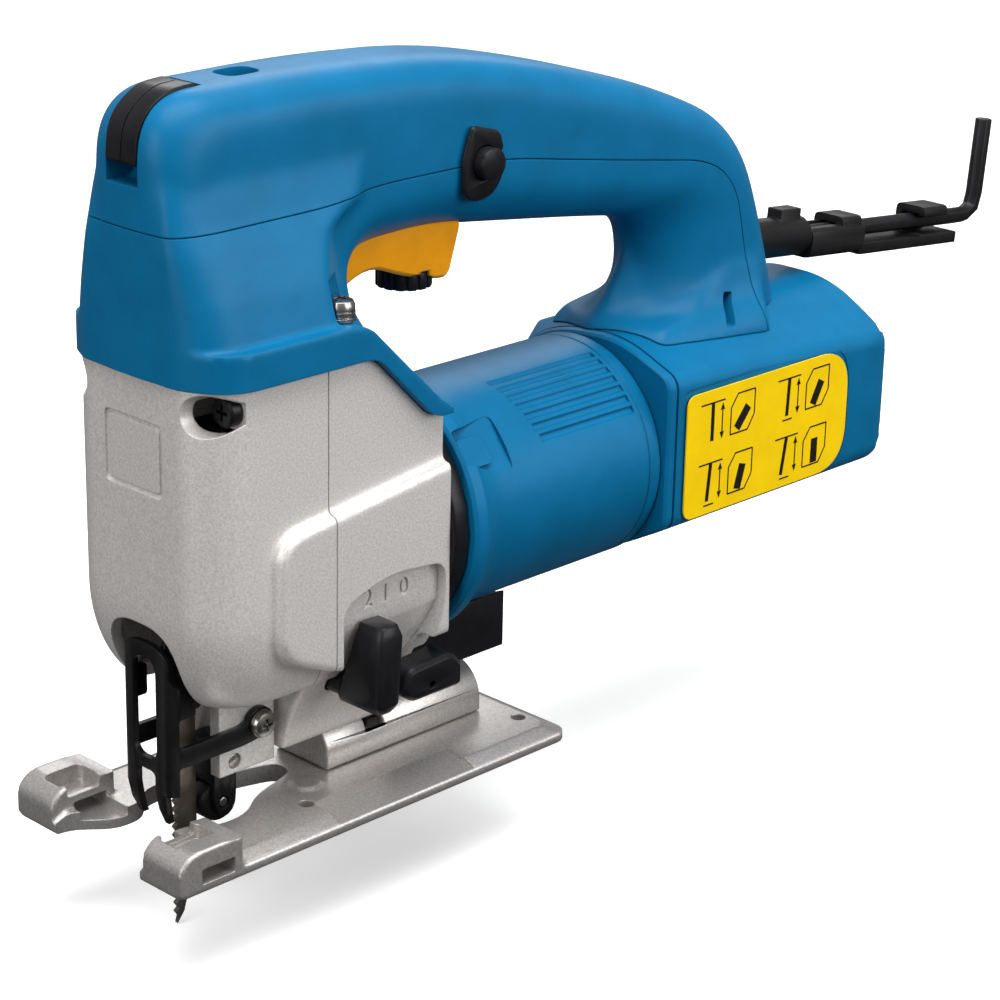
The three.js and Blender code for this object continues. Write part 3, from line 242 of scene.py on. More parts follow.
# ---------------------------------------------------------------- materials
class Finish:
    """A procedural material: colour variation, roughness variation, bump and softened edges."""

    def __init__(self, name, colour, roughness, metallic=0.0, gloss=0.5):
        self.material = bpy.data.materials.new(name)
        self.material.use_nodes = True
        self.tree = self.material.node_tree
        self.shader = self.tree.nodes["Principled BSDF"]
        self.shader.inputs["Metallic"].default_value = metallic
        self.shader.inputs["Specular IOR Level"].default_value = gloss
        self.coords = self.node("ShaderNodeTexCoord").outputs["Object"]
        self.base = colour
        self.rough = roughness
        self.height = None
        self.shader.inputs["Roughness"].default_value = roughness
        self.shader.inputs["Base Color"].default_value = (*colour, 1)

    def node(self, kind, **settings):
        made = self.tree.nodes.new(kind)
        for key, value in settings.items():
            setattr(made, key, value)
        return made

    def noise(self, scale, detail=6.0, roughness=0.55, stretch=None):
        vector = self.coords
        if stretch:
            mapping = self.node("ShaderNodeMapping")
            mapping.inputs["Scale"].default_value = stretch
            self.tree.links.new(vector, mapping.inputs["Vector"])
            vector = mapping.outputs["Vector"]
        made = self.node("ShaderNodeTexNoise")
        made.inputs["Scale"].default_value = scale
        made.inputs["Detail"].default_value = detail
        made.inputs["Roughness"].default_value = roughness
        self.tree.links.new(vector, made.inputs["Vector"])
        return made.outputs["Fac"]

    def ramp(self, source, low, high, start=0.3, end=0.7):
        made = self.node("ShaderNodeValToRGB")
        made.color_ramp.elements[0].position = start
        made.color_ramp.elements[0].color = (*low, 1)
        made.color_ramp.elements[1].position = end
        made.color_ramp.elements[1].color = (*high, 1)
        self.tree.links.new(source, made.inputs["Fac"])
        return made.outputs["Color"]

    def vary(self, scale, low, high, start=0.3, end=0.7, detail=4.0):
        """The colour runs from `low` to `high` times the base."""
        shades = [tuple(c * factor for c in self.base) for factor in (low, high)]
        self.tree.links.new(self.ramp(self.noise(scale, detail), *shades, start, end),
                            self.shader.inputs["Base Color"])
        return self

    def roughen(self, scale, spread, stretch=None):
        spot = self.node("ShaderNodeMapRange")
        spot.inputs["To Min"].default_value = max(self.rough - spread, 0.03)
        spot.inputs["To Max"].default_value = min(self.rough + spread, 1.0)
        self.tree.links.new(self.noise(scale, 5.0, 0.6, stretch), spot.inputs["Value"])
        self.tree.links.new(spot.outputs["Result"], self.shader.inputs["Roughness"])
        return self

    def bump(self, scale, depth, stretch=None, edge=0.5, detail=3.0):
        """Relief `depth` mm deep, over edges rounded to `edge` mm."""
        rounding = self.node("ShaderNodeBevel", samples=4)
        rounding.inputs["Radius"].default_value = edge * MM
        relief = self.node("ShaderNodeBump")
        relief.inputs["Strength"].default_value = 1.0
        relief.inputs["Distance"].default_value = depth * MM
        self.tree.links.new(self.noise(scale, detail, 0.6, stretch), relief.inputs["Height"])
        self.tree.links.new(rounding.outputs["Normal"], relief.inputs["Normal"])
        self.tree.links.new(relief.outputs["Normal"], self.shader.inputs["Normal"])
        return self


def linear(code):
    """Linear colour from an sRGB hex code."""
    parts = [int(code[i:i + 2], 16) / 255 for i in (0, 2, 4)]
    return tuple(p / 12.92 if p <= 0.04045 else ((p + 0.055) / 1.055) ** 2.4 for p in parts)


LOOKS = {
    "blue_plastic": Finish("blue_plastic", (0.0012, 0.13, 0.285), 0.38, gloss=0.14)
    .vary(60, 0.9, 1.08).roughen(300, 0.06).bump(2600, 0.03, edge=0.5),
    "cast_metal": Finish("cast_metal", linear("ddd9d6"), 0.44, 0.35)
    .vary(1500, 0.78, 1.08, detail=3).roughen(900, 0.08).bump(1700, 0.07, edge=0.6, detail=4),
    "shoe_metal": Finish("shoe_metal", linear("c0bcb9"), 0.32, 0.68)
    .vary(1400, 0.76, 1.1, detail=3).roughen(600, 0.1).bump(1500, 0.07, edge=0.5, detail=4),
    "black_plastic": Finish("black_plastic", linear("17171a"), 0.3, gloss=0.2)
    .vary(120, 0.8, 1.25).roughen(400, 0.08).bump(2600, 0.03, edge=0.4),
    "black_steel": Finish("black_steel", linear("19191b"), 0.34, 0.3, gloss=0.3)
    .vary(200, 0.75, 1.3).roughen(500, 0.1).bump(1800, 0.03, edge=0.35),
    "steel": Finish("steel", linear("a9a6a1"), 0.25, 1.0)
    .vary(250, 0.8, 1.1).roughen(600, 0.08).bump(1200, 0.02, edge=0.25),
    "core_steel": Finish("core_steel", linear("66625e"), 0.5, 0.9)
    .vary(300, 0.7, 1.1).roughen(400, 0.1).bump(900, 0.05, stretch=(8, 1, 1)),
    "blade_steel": Finish("blade_steel", linear("7d756b"), 0.36, 0.85)
    .vary(180, 0.65, 1.15).roughen(500, 0.12, stretch=(1, 1, 6)).bump(1500, 0.02, edge=0.1),
    "copper": Finish("copper", linear("b06a40"), 0.3, 1.0)
    .vary(200, 0.7, 1.1).roughen(400, 0.1).bump(900, 0.03, stretch=(8, 1, 1)),
    "brass": Finish("brass", linear("b8933f"), 0.3, 1.0)
    .vary(200, 0.75, 1.1).roughen(400, 0.1).bump(900, 0.03),
    "carbon": Finish("carbon", linear("242428"), 0.7)
    .vary(400, 0.7, 1.2).roughen(400, 0.1).bump(1600, 0.05),
    "amber_plastic": Finish("amber_plastic", linear("f2a010"), 0.35, gloss=0.25)
    .vary(100, 0.92, 1.06).roughen(300, 0.06).bump(2400, 0.03, edge=0.6),
    "yellow_label": Finish("yellow_label", linear("f8cf06"), 0.35, gloss=0.2)
    .vary(80, 0.93, 1.04).roughen(300, 0.05).bump(1500, 0.012, edge=0.1),
    "rubber": Finish("rubber", linear("0f0f11"), 0.45, gloss=0.25)
    .vary(150, 0.8, 1.3).roughen(300, 0.1).bump(1800, 0.05, edge=0.4),
    "print_black": Finish("print_black", linear("151412"), 0.4, gloss=0.3)
    .vary(200, 0.8, 1.3).roughen(300, 0.05).bump(1500, 0.01, edge=0.05),
}

SLOT_OF = {part["node"]: part["material_slot"] for part in frame["record"]["subparts"]}
BODY_OF = {node: body for body, nodes in frame["record"]["behaviour"]["bodies"].items() for node in nodes}


def shade(obj, look, angle=35):
    obj.data.materials.clear()
    obj.data.materials.append(LOOKS[look].material)
    for polygon in obj.data.polygons:
        polygon.material_index = 0
    obj.data.shade_smooth()
    obj.data.set_sharp_from_angle(angle=math.radians(angle))
    return obj


def finish(obj, node, angle=35):
    """Gives the piece its name, look, slot and body, and lets it stand for the CAD node."""
    obj.name = node + "_look"
    obj.data.name = obj.name
    shade(obj, SLOT_OF[node], angle)
    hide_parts(node)
    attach(obj, BODY_OF[node])
    return obj


def from_cad(node):
    """A copy of the CAD node's mesh, in the row frame."""
    source = frame["nodes"][node]
    mesh = source.data.copy()
    mesh.transform(source.matrix_world)
    obj = bpy.data.objects.new(node, mesh)
    bpy.context.scene.collection.objects.link(obj)
    work = bmesh.new()
    work.from_mesh(mesh)
    bmesh.ops.remove_doubles(work, verts=work.verts, dist=2e-6)
    work.to_mesh(mesh)
    work.free()
    return obj


# ---------------------------------------------------------------- metal gear case
def case_ring(z, skin, rear):
    sunk = min(max((70 - z) / (70 - CASE_BOTTOM), 0), 1)
    curl = 1 - math.sqrt(1 - sunk * sunk)
    half = CASE_HALF - 9 * curl - skin
    front = CASE_FRONT + 15 * curl + skin
    nose = CASE_NOSE * half / CASE_HALF
    side = []
    for i in range(17):
        angle = i / 16 * math.pi / 2
        side.append((front + 16.5 * (1 - math.cos(angle)), nose + (half - nose) * math.sin(angle), z))
    side.append((rear, half, z))
    return [(x, -y, z) for x, y, z in side] + side[::-1]


def case_block(skin, bottom, top, rear):
    turn = [CASE_BOTTOM + 30 * (1 - math.cos(math.radians(a))) for a in range(0, 91, 6)]
    inside = [z for z in turn if bottom + 0.5 < z < top - 0.5]
    return loft([case_ring(z, skin, rear) for z in [bottom, *inside, top]])


BULGE = [(-35, 56, 8), (-35, 90, 8), (36, 99, 8), (36, 48, 8), (-12, 46, 10)]


def metal_top(lift):
    return outline([(-90, CASE_TOP + lift), (-1, CASE_TOP + lift, 4), (20.5, 111.7 + lift, 4),
                    (60, 111.7 + lift), (60, 220), (-90, 220)])


def case_body():
    body = case_block(0, CASE_BOTTOM, CASE_TOP + 6, CASE_REAR + 6)
    for side in (-1, 1):
        join(body, prism("y", outline(BULGE), side * 20, side * 33.4))
    neck = loft([[(-15.85, -h, z), (CASE_REAR + 6, -h, z), (CASE_REAR + 6, h, z), (-15.85, h, z)]
                 for z, h in ((17, 10.6), (24, 12.2), (32, 15.6), (42, 21.5))])
    join(body, neck)
    return soften(body, 0.8, 9)


def screw_rods(radius, start, end, sides=40):
    return both(lambda side: rod("x", radius, start, end, (side * CASE_SCREW_Y, CASE_SCREW_Z), sides))


def front_cover(case):
    body = common(copy(case), block(-90, CASE_SEAM - GAP / 2, -60, 60, 30, CASE_TOP))
    cut(body, case_block(CASE_WALL, CASE_BOTTOM + CASE_WALL, CASE_TOP - CASE_WALL, 0))
    join(body, common(block(-54, -34, -30, 30, 68, 77), case_block(1, 60, 90, 0)))
    join(body, block(-54, -34, -10, 10, 121, CASE_TOP - 1), *screw_rods(5.2, -46, CASE_SEAM - GAP / 2))
    arch = outline([(-14, 20), (-14, 64, 12), (14, 64, 12), (14, 20)], 12)
    badge = outline([(-11.5, 101.5, 2), (-11.5, 121.5, 2), (11.5, 121.5, 2), (11.5, 101.5, 2)])
    plate = outline([(-10.4, 102.6, 1.5), (-10.4, 120.4, 1.5), (10.4, 120.4, 1.5), (10.4, 102.6, 1.5)])
    cut(body, prism("x", arch, -70, -36), block(-60, -30, -8, 8, 30, 50))
    cut(body, prism("x", badge, -60, CASE_FRONT + 0.7))
    join(body, prism("x", plate, CASE_FRONT + 0.25, CASE_FRONT + 2))
    cut(body, rod("z", 7.3, 60, CASE_TOP - 1.5, (PLUNGER_X, 0)), rod("z", 5.7, 60, 140, (PLUNGER_X, 0)))
    cut(body, *screw_rods(CASE_SCREW_RECESS, -70, -44), *screw_rods(2.3, -60, 0))
    return finish(body, "front_cover")


def gear_housing(case):
    body = common(copy(case), block(CASE_SEAM + GAP / 2, CASE_REAR, -60, 60, 10, 200))
    cut(body, prism("y", metal_top(0), -60, 60))
    floor = outline([(-60, 30), (-20.5, 30), (-22, 40), (-26, 48), (-30.2, 58), (-30.2, 71.5), (-60, 71.5)])
    rim = outline([(-13.5, 30), (-13.5, 66, 5), (3, 71.5, 8), (24.6, 69.5, 5), (24.6, 56, 7), (14, 30)])
    pocket = common(prism("x", floor, -30, 40), prism("y", rim, -60, 0))
    inside = common(case_block(CASE_WALL, 60, CASE_TOP - CASE_WALL, 40), block(-20, -10, -40, 40, 0, 200))
    cut(body, inside, rod("x", 28.5, 2, 40, (0, MOTOR_Z), 72))
    join(body, *screw_rods(5.2, CASE_SEAM + GAP / 2, -9))
    cut(body, pocket, rod("x", 13.3, -9.2, 10, (0, MOTOR_Z)), rod("x", 7, -20, 10, (0, MOTOR_Z)))
    cut(body, rod("x", 11.4, 0.4, 90, (0, 9.5), 96), *screw_rods(2.3, -20, -7))
    cut(body, rod("x", 4.3, -20, -2.5, (0, GEAR_Z)), rod("y", 4.3, -30, -13, SELECTOR_PIVOT))
    cut(body, rod("y", 3.3, -30, -12, BLOWER_PIVOT), rod("z", 3.3, 10, 36, (20, 0)))
    cut(body, *both(lambda side: rod("z", 2.1, 117, 140, (STRAP_X, side * STRAP_Y))))
    cut(body, block(12, 24, -40, -13, 20, 28))
    for x, z in ((2.9, 55.9), (7.6, 52.9)):
        join(body, rod("y", 1.5, -29.5, -27 if z > 54 else -26, (x, z)))
    for digit, x in (("2", -1.8), ("1", 4.7), ("0", 11.6)):
        cut(body, digit_tool(digit, x, 64.5, -30.2))
    return finish(body, "gear_housing")


def digit_tool(digit, x, z, y):
    """A numeral solid sunk 0.6 mm into a face at `y` that looks to the left side."""
    curve = bpy.data.curves.new("digit", "FONT")
    curve.body = digit
    curve.size = 7.2 * MM
    curve.align_x = "CENTER"
    curve.align_y = "CENTER"
    curve.extrude = 0.6 * MM
    text = bpy.data.objects.new("digit", curve)
    bpy.context.scene.collection.objects.link(text)
    text.matrix_world = Matrix.Translation(Vector((x, y, z)) * MM) @ Matrix.Rotation(math.pi / 2, 4, "X")
    bpy.context.view_layer.update()
    graph = bpy.context.evaluated_depsgraph_get()
    mesh = bpy.data.meshes.new_from_object(text.evaluated_get(graph))
    mesh.transform(text.matrix_world)
    drop(text)
    work = bmesh.new()
    work.from_mesh(mesh)
    bmesh.ops.remove_doubles(work, verts=work.verts, dist=1e-7)
    bmesh.ops.recalc_face_normals(work, faces=work.faces)
    work.to_mesh(mesh)
    work.free()
    solid = bpy.data.objects.new("digit", mesh)
    bpy.context.scene.collection.objects.link(solid)
    return solid


# ---------------------------------------------------------------- motor housings
def motor_barrel():
    profile = [(BARREL_FRONT, 31.2), (BARREL_FRONT, BARREL_RING - 1), (BARREL_FRONT + 1, BARREL_RING),
               (BARREL_FRONT + 4.5, BARREL_RING), (BARREL_FRONT + 8, BARREL_R + 1.4),
               (BARREL_FRONT + 12, BARREL_R + 0.2), (BARREL_FRONT + 16, BARREL_R),
               (BARREL_REAR - 5.4, BARREL_R), (BARREL_REAR - 5, BARREL_R - 0.5),
               (BARREL_REAR - 4.6, BARREL_R), (BARREL_REAR - 0.6, BARREL_R),
               (BARREL_REAR, BARREL_R - 0.6), (BARREL_REAR, 31.2)]
    body = turned(profile, (0, MOTOR_Z), 160)
    for i in range(7):
        angle = math.radians(20 + 6 * i)
        spot = (math.sin(-angle) * (BARREL_R + 0.4), MOTOR_Z + math.cos(angle) * (BARREL_R + 0.4))
        cut(body, rod("x", 1.25, 62 + 0.8 * i, 106, spot, 20))
    pocket = outline([(33, -4, 1), (53, -9, 3), (53, 9, 3), (33, 6, 1)])
    cut(body, tilt(prism("z", pocket, BARREL_R - 1.2, BARREL_R + 9), STAMP_TILT))
    pad_edge = outline([(36, -5, 1), (46, -5, 2), (46, 4, 2), (36, 4, 1)])
    pad = prism("z", pad_edge, BARREL_R - 3, BARREL_R + 0.4)
    join(body, tilt(pad, STAMP_TILT))
    return finish(body, "motor_barrel")


def tilt(obj, degrees):
    """Turns a tool drawn above the motor axis towards the left side, and lifts it to the axis."""
    turn = Matrix.Translation((0, 0, MOTOR_Z * MM)) @ Matrix.Rotation(math.radians(degrees), 4, "X")
    obj.data.transform(turn)
    return obj


def rear_ring(x, skin):
    """The rear housing's section, whose upper right shoulder starts rounded, level with the barrel."""
    share = min(max((x - REAR_FRONT) / (REAR_TAPER - REAR_FRONT), 0), 1)
    crease = CREASE_FRONT + (CREASE_REAR - CREASE_FRONT) * share
    half = REAR_HALF - skin
    rounded = 1 - min(max((x - REAR_FRONT) / (REAR_SQUARED - REAR_FRONT), 0), 1)
    side = [(15 - skin * 0.3, REAR_BOTTOM + skin, 8), (half, 56.5 + skin * 0.5, 4),
            (half, crease - 2.5 - skin * 0.6, 4), (14 - skin * 0.3, REAR_TOP - skin, 10)]
    shoulder = []
    for y, z, fillet in side[2:]:
        shrink = 1 - rounded * (1 - (REAR_SHOULDER - skin) / math.hypot(y, z - MOTOR_Z))
        shoulder.append((y * shrink, MOTOR_Z + (z - MOTOR_Z) * shrink, fillet + 9 * rounded))
    corners = [(-u, v, r) for u, v, r in side] + shoulder[::-1] + side[1::-1]
    return [(x, p[0], p[1]) for p in outline(corners, 10)]


def rear_loft(start, end, skin, *ends):
    """The rear housing's body from `start` to `end`, with extra (x, skin) rings at its end."""
    stations = [start] + [x for x in np.linspace(REAR_FRONT + 3, REAR_SQUARED, 5) if x > start + 0.5] + [end]
    return loft([rear_ring(x, skin) for x in stations] + [rear_ring(x, s) for x, s in ends])


def rear_housing():
    nose_length, nose_inset = REAR_END - REAR_TAPER, 9
    nose = [(REAR_TAPER + nose_length * math.sin(a), nose_inset * (1 - math.cos(a)))
            for a in map(math.radians, range(0, 91, 10))]
    morph = np.linspace(REAR_FRONT + 0.8, REAR_SQUARED, 7)
    front = [rear_ring(REAR_FRONT, 0.8)] + [rear_ring(x, 0) for x in morph]
    body = loft(front + [rear_ring(x, s) for x, s in nose])
    common(body, prism("y", outline([(100, 30), (203, 30, 8), (216.5, 56, 12), (224, 67, 16), (224, 88, 18),
                                     (218, 101.5, 9), (211, 120, 8), (100, 120)], 12), -50, 50))
    cut(body, rear_loft(REAR_FRONT + 3, REAR_TAPER, 3, (217, 4)))
    cut(body, rod("x", 30, 112, 118, (0, MOTOR_Z), 72))
    spider = rod("x", 17, 168, 180, (0, MOTOR_Z))
    join(spider, block(170, 178, -34.5, 34.5, 72.3, 78.3), block(170, 178, -3, 3, 46, 110))
    cut(spider, rod("x", 13.3, 166, 178.8, (0, MOTOR_Z)))
    join(body, spider, block(134, 144, -6, 6, 46, 49.5), block(134, 144, -6, 6, 101.1, 110))
    for i in range(-3, 4):
        cut(body, block(212, 230, i * 7 - 1.5, i * 7 + 1.5, 54, 96))
    for i in range(-4, 5):
        notch = (222.9 - 0.24 * i * i, 78 + 4.7 * i)
        cut(body, rod("y", 1.75, -40, -20, notch, 24), rod("y", 1.75, 20, 40, notch, 24))
    panel = outline([(119.5, 55.8, 4), (199.5, 55.8, 15), (199.5, 98.2, 15), (119.5, 98.2, 4)], 12)
    cut(body, prism("y", panel, -REAR_HALF - 1, -REAR_HALF + 0.25))
    groove = [rear_ring(x, 0.7) for x in (REAR_FRONT + 3.2, REAR_FRONT + 4.2)]
    ring = loft([rear_ring(REAR_FRONT + 3.2, -1), rear_ring(REAR_FRONT + 4.2, -1)])
    cut(ring, loft([[(x - 1, y, z) for x, y, z in groove[0]], [(x + 1, y, z) for x, y, z in groove[1]]]))
    cut(body, ring)
    return finish(body, "rear_housing")


# ---------------------------------------------------------------- label with pictograms
def info_label():
    face = -REAR_HALF - 0.8
    plate = prism("y", outline([(121, 57.5, 4), (198, 57.5, 14), (198, 96.5, 14), (121, 96.5, 4)], 12),
                  face, face + 0.5)
    finish(plate, "info_label")
    marks = []

    def bar(x0, z0, x1, z1, width):
        way = np.array([x1 - x0, z1 - z0], float)
        side = np.array([-way[1], way[0]]) / np.linalg.norm(way) * width / 2
        a, b = np.array([x0, z0]), np.array([x1, z1])
        marks.append([a + side, b + side, b - side, a - side])

    def arrow(x, z, up):
        marks.append([np.array([x - 1, z]), np.array([x + 1, z]), np.array([x, z + 2.2 * up])])

    for col, row, lean in ((0, 1, 0), (1, 1, 6), (0, 0, 12), (1, 0, 20)):
        x, z = 125 + 36 * col, 60 + 19 * row
        bar(x + 2, z + 13.5, x + 13, z + 13.5, 0.5)
        bar(x + 7.5, z + 13.5, x + 7.5 - lean * 0.1, z + 1.5, 1.5)
        bar(x + 12, z + 3.5, x + 12, z + 10.5, 0.5)
        arrow(x + 12, z + 10.5, 1)
        arrow(x + 12, z + 3.5, -1)
        for a, b in (((16, 1.5), (16, 10)), ((16, 10), (19, 14)), ((19, 14), (27, 14)), ((27, 14), (27, 6)),
                     ((27, 6), (24, 1.5)), ((24, 1.5), (16, 1.5))):
            bar(x + a[0], z + a[1], x + b[0], z + b[1], 0.5)
        turn = math.radians(50 + lean * 2)
        reach = np.array([math.cos(turn), math.sin(turn)]) * 4
        bar(x + 21.5 - reach[0], z + 6 - reach[1], x + 21.5 + reach[0], z + 6 + reach[1], 3.2)
        if lean:
            bar(x + 5, z + 0.2, x + 9.5, z + 0.2, 0.5)
    points, faces = [], []
    for shape in marks:
        first = len(points)
        count = len(shape)
        points += [(p[0], face - 0.06, p[1]) for p in shape] + [(p[0], face, p[1]) for p in shape]
        faces.append(tuple(first + i for i in range(count)))
        faces.append(tuple(first + count + i for i in range(count))[::-1])
        faces += [(first + i, first + (i + 1) % count, first + count + (i + 1) % count, first + count + i)
                  for i in range(count)]
    printed = add("label_print", points, faces)
    printed.data.materials.append(LOOKS["print_black"].material)
    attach(printed, "housing")
    return plate


# ---------------------------------------------------------------- handle
LOOP = [(HANDLE_FRONT, 100, 10), (HANDLE_FRONT, 206, 17), (0, 207, 20), (48, 204.5, 20), (90, 195.5, 20),
        (132, 183.5, 20), (168, 168, 20), (183, 132, 20), (196, 85, 10)]
# The hand opening: x and z at the handle's sides, fillet, then x and z in the middle plane.
OPENING = [(3, 143, 6, 7, 142), (0, 158, 8, 6, 152), (12, 170.5, 10, 14, 155), (40, 171, 10, 40, 156),
           (108, 160.5, 14, 104, 147.6), (158, 152, 14, 129.5, 143.6), (165, 128, 14, 133, 128),
           (160, 112, 10, 130, 120), (128, 104, 8, 122, 114.5), (115, 80, 2, 112, 80), (40, 80, 2, 40, 80),
           (26, 113, 2, 27, 113)]


def inset(corners, distance):
    """Corners moved to their left-hand side, mitred."""
    moved = []
    for i, corner in enumerate(corners):
        trio = (corner, corners[i - 1], corners[(i + 1) % len(corners)])
        here, before, after = (np.array(c[:2], float) for c in trio)
        a = (here - before) / np.linalg.norm(here - before)
        b = (after - here) / np.linalg.norm(after - here)
        normal = np.array([-(a[1] + b[1]), a[0] + b[0]])
        normal /= np.linalg.norm(normal)
        stretch = max(0.5, normal @ np.array([-a[1], a[0]]))
        moved.append((*(here + normal * distance / stretch), corner[2]))
    return moved


def loop_body():
    rings = []
    for i in range(13):
        angle = i / 12 * math.pi / 2
        y = 11 * (1 - math.cos(angle)) - HANDLE_HALF
        rings.append([(p[0], y, p[1]) for p in outline(inset(LOOP, -11 * (1 - math.sin(angle))), 10)])
    return loft(rings + [[(x, -y, z) for x, y, z in ring] for ring in reversed(rings)])


def opening_tool():
    def ring(y, share):
        corners = [(x + (mx - x) * share, z + (mz - z) * share, r) for x, z, r, mx, mz in OPENING]
        return [(p[0], y, p[1]) for p in outline(corners, 8)]
    turns = [math.pi * i / 24 for i in range(25)]
    middle = [ring(-HANDLE_HALF * math.cos(a), math.sin(a)) for a in turns]
    return loft([ring(-40, 0)] + middle + [ring(40, 0)])


def block_ring(z, front, nose, half, rear, rear_side=None):
    side = []
    for i in range(11):
        angle = i / 10 * math.pi / 2
        side.append((front + 15 * (1 - math.cos(angle)), nose + (half - nose) * math.sin(angle), z))
    side += [(rear if rear_side is None else rear_side, half, z), (rear, half * 0.6, z)]
    return [(x, -y, z) for x, y, z in side] + side[::-1]


def foot_ring(z, tip, side, half, rear, half_rear):
    edge = [(side - (side - tip) * (1 - t ** 1.3), half * t, z) for t in np.linspace(0.1, 1, 10)]
    edge += [(rear - 5, half_rear, z), (rear, half_rear - 6, z)]
    return [(tip, 0, z)] + [(x, -y, z) for x, y, z in edge] + edge[::-1]


def split_region(lift):
    return outline([(-90, 171.5 + lift), (-8, 172.5 + lift, 6), (16, 174.5 + lift, 8), (60, 174.5 + lift, 12),
                    (105, 167 + lift, 12), (150, 160 + lift, 12), (162 + lift, 150, 8), (168 + lift, 126, 8),
                    (170 + lift, 90), (260, 90), (260, 260), (-90, 260)], 10)


def handle_skin():
    loop = cut(loop_body(), opening_tool())
    shoulders = loft([
        block_ring(105, -58, 16.2, 29, 27), block_ring(143, -58.1, 16, 29, 3, -12),
        block_ring(155, -58.1, 15.6, 26.5, 1, -13), block_ring(167, -58.1, 15, 22.5, 4, -9),
        block_ring(173, -57.9, 14.3, 20, 18, 4), block_ring(183, -57, 12.8, 17.7, 20, 8),
        block_ring(196, -52, 9.5, 14, 20, 8)])
    foot = loft([
        foot_ring(90, 114.3, 124, 23, 176, 27.5), foot_ring(107.5, 114.5, 124, 22.8, 175, 27),
        foot_ring(112, 116, 128, 20.5, 176, 24.5), foot_ring(114.5, 119, 142, 19, 177, 22.5),
        foot_ring(120, 124, 153, 18.5, 179, 19.8), foot_ring(128, 129, 160, 17.4, 180, 17.6),
        foot_ring(142, 133, 165, 16.2, 172, 16.2)])
    soft = soften(join(loop, shoulders, foot), 1.0, 22)
    flange_side = outline([
        (-70, 100), (27.7, 100), (27.7, 113.5), (22.5, 117, 3), (-4.5, 143.2, 5), (-70, 143.2)])
    flange = common(loft([block_ring(z, -57.6, 14.5, 33, 27.7) for z in (100, 150)]),
                    prism("y", flange_side, -50, 50))
    return soften(join(soft, flange), 0.8, 4)


def rear_clearance():
    return rear_loft(REAR_FRONT - GAP, REAR_TAPER, -GAP, (240, -GAP))


def guard_bore():
    tool = join(rod("x", 6.9, -16, 30), rod("x", 9.6, -16, -5.6))
    droop = Matrix.Rotation(KEY_DROOP, 4, "Y")
    tool.data.transform(Matrix.Translation((KEY_X * MM, 0, KEY_Z * MM)) @ droop)
    return tool


def handle_shells():
    body = handle_skin()
    above = prism("y", outline([
        (-90, CASE_TOP + GAP), (-1, CASE_TOP + GAP, 4), (20.5, 112, 4), (27.7, 112), (27.7, 114), (36, 116),
        (112, 116), (112, 95), (260, 95), (260, 260), (-90, 260)]), -60, 60)
    common(body, above)
    cut(body, rear_clearance(), rod("x", BARREL_R + GAP, 50, REAR_FRONT, (0, MOTOR_Z), 120))
    upper = prism("y", outline([
        (-6, 172, 4), (-6, 199, 8), (46, 197, 8), (90, 189, 8), (130, 177, 8), (160, 163, 8), (176, 135, 8),
        (183, 116, 2), (172, 116, 2), (168, 150, 8), (150, 164, 8), (60, 173, 4)]), -12.5, 12.5)
    lower = prism("y", outline([
        (3, 161, 3), (3, 175), (150, 175), (165, 160, 4), (170, 116), (150, 116, 4), (146, 146, 6),
        (60, 160, 4)]), -8.6, 8.6)
    hollow = prism("y", outline([(-52, 120), (-16, 120), (-16, 152, 6), (-52, 152, 6)]), -20, 20)
    wall = LEVER_HALF + GAP
    lever = prism("y", outline([(-70, 183), (-50, 183, 3), (-46.5, 193, 5), (-42.5, 196.6), (LEVER_X, 200),
                                (LEVER_X, 230), (-70, 230)]), -wall, wall)
    join(lever, rod("y", LEVER_HUB + 0.4, -wall, wall, (LEVER_X, LEVER_Z)))
    cut(body, upper, lower, block(3.4, 55.5, -8.6, 8.6, 130, 170), hollow, lever)
    cut(body, rod("y", 2.3, -11, 11, (LEVER_X, LEVER_Z)), rod("y", 1.8, -13, 13, TRIGGER_PIVOT))
    screw_at = (HANDLE_SCREW_X, 0)
    recess = outline([(-26.5, -4.6, 4), (-15, -4.6, 4), (-15, 4.6, 4), (-26.5, 4.6, 4)], 12)
    cut(body, prism("z", recess, 203.4, 230), rod("z", 4.4, 196, 230, screw_at))
    cut(body, rod("z", 2.2, 148, 200, screw_at))
    cut(body, rod("y", 5.4, -30, -8, LOCK_CENTRE))
    for side in (-1, 1):
        cut(body, rod("z", 2.3, 100, 150, (STRAP_X, side * STRAP_Y)))
        cut(body, rod("z", STRAP_HEAD + 0.6, STRAP_SEAT, 155, (STRAP_X, side * STRAP_Y)))
    cut(body, guard_bore())
    slit = outline([(152.2, 109.2, 0.8), (155.6, 108.8, 0.8), (159.6, 118, 0.8), (156.2, 118.4, 0.8)])
    slot_tool = prism("y", slit, -40, 40)
    ends = common(slot_tool, join(block(150, 190, -40, -14.5, 90, 130), block(150, 190, 14.5, 40, 90, 130)))
    cut(body, ends)
    twin = copy(body)
    shell_up = common(body, prism("y", split_region(GAP / 2), -60, 60))
    shell_low = cut(twin, prism("y", split_region(-GAP / 2), -60, 60))
    return finish(shell_up, "handle_upper_shell"), finish(shell_low, "handle_lower_shell")


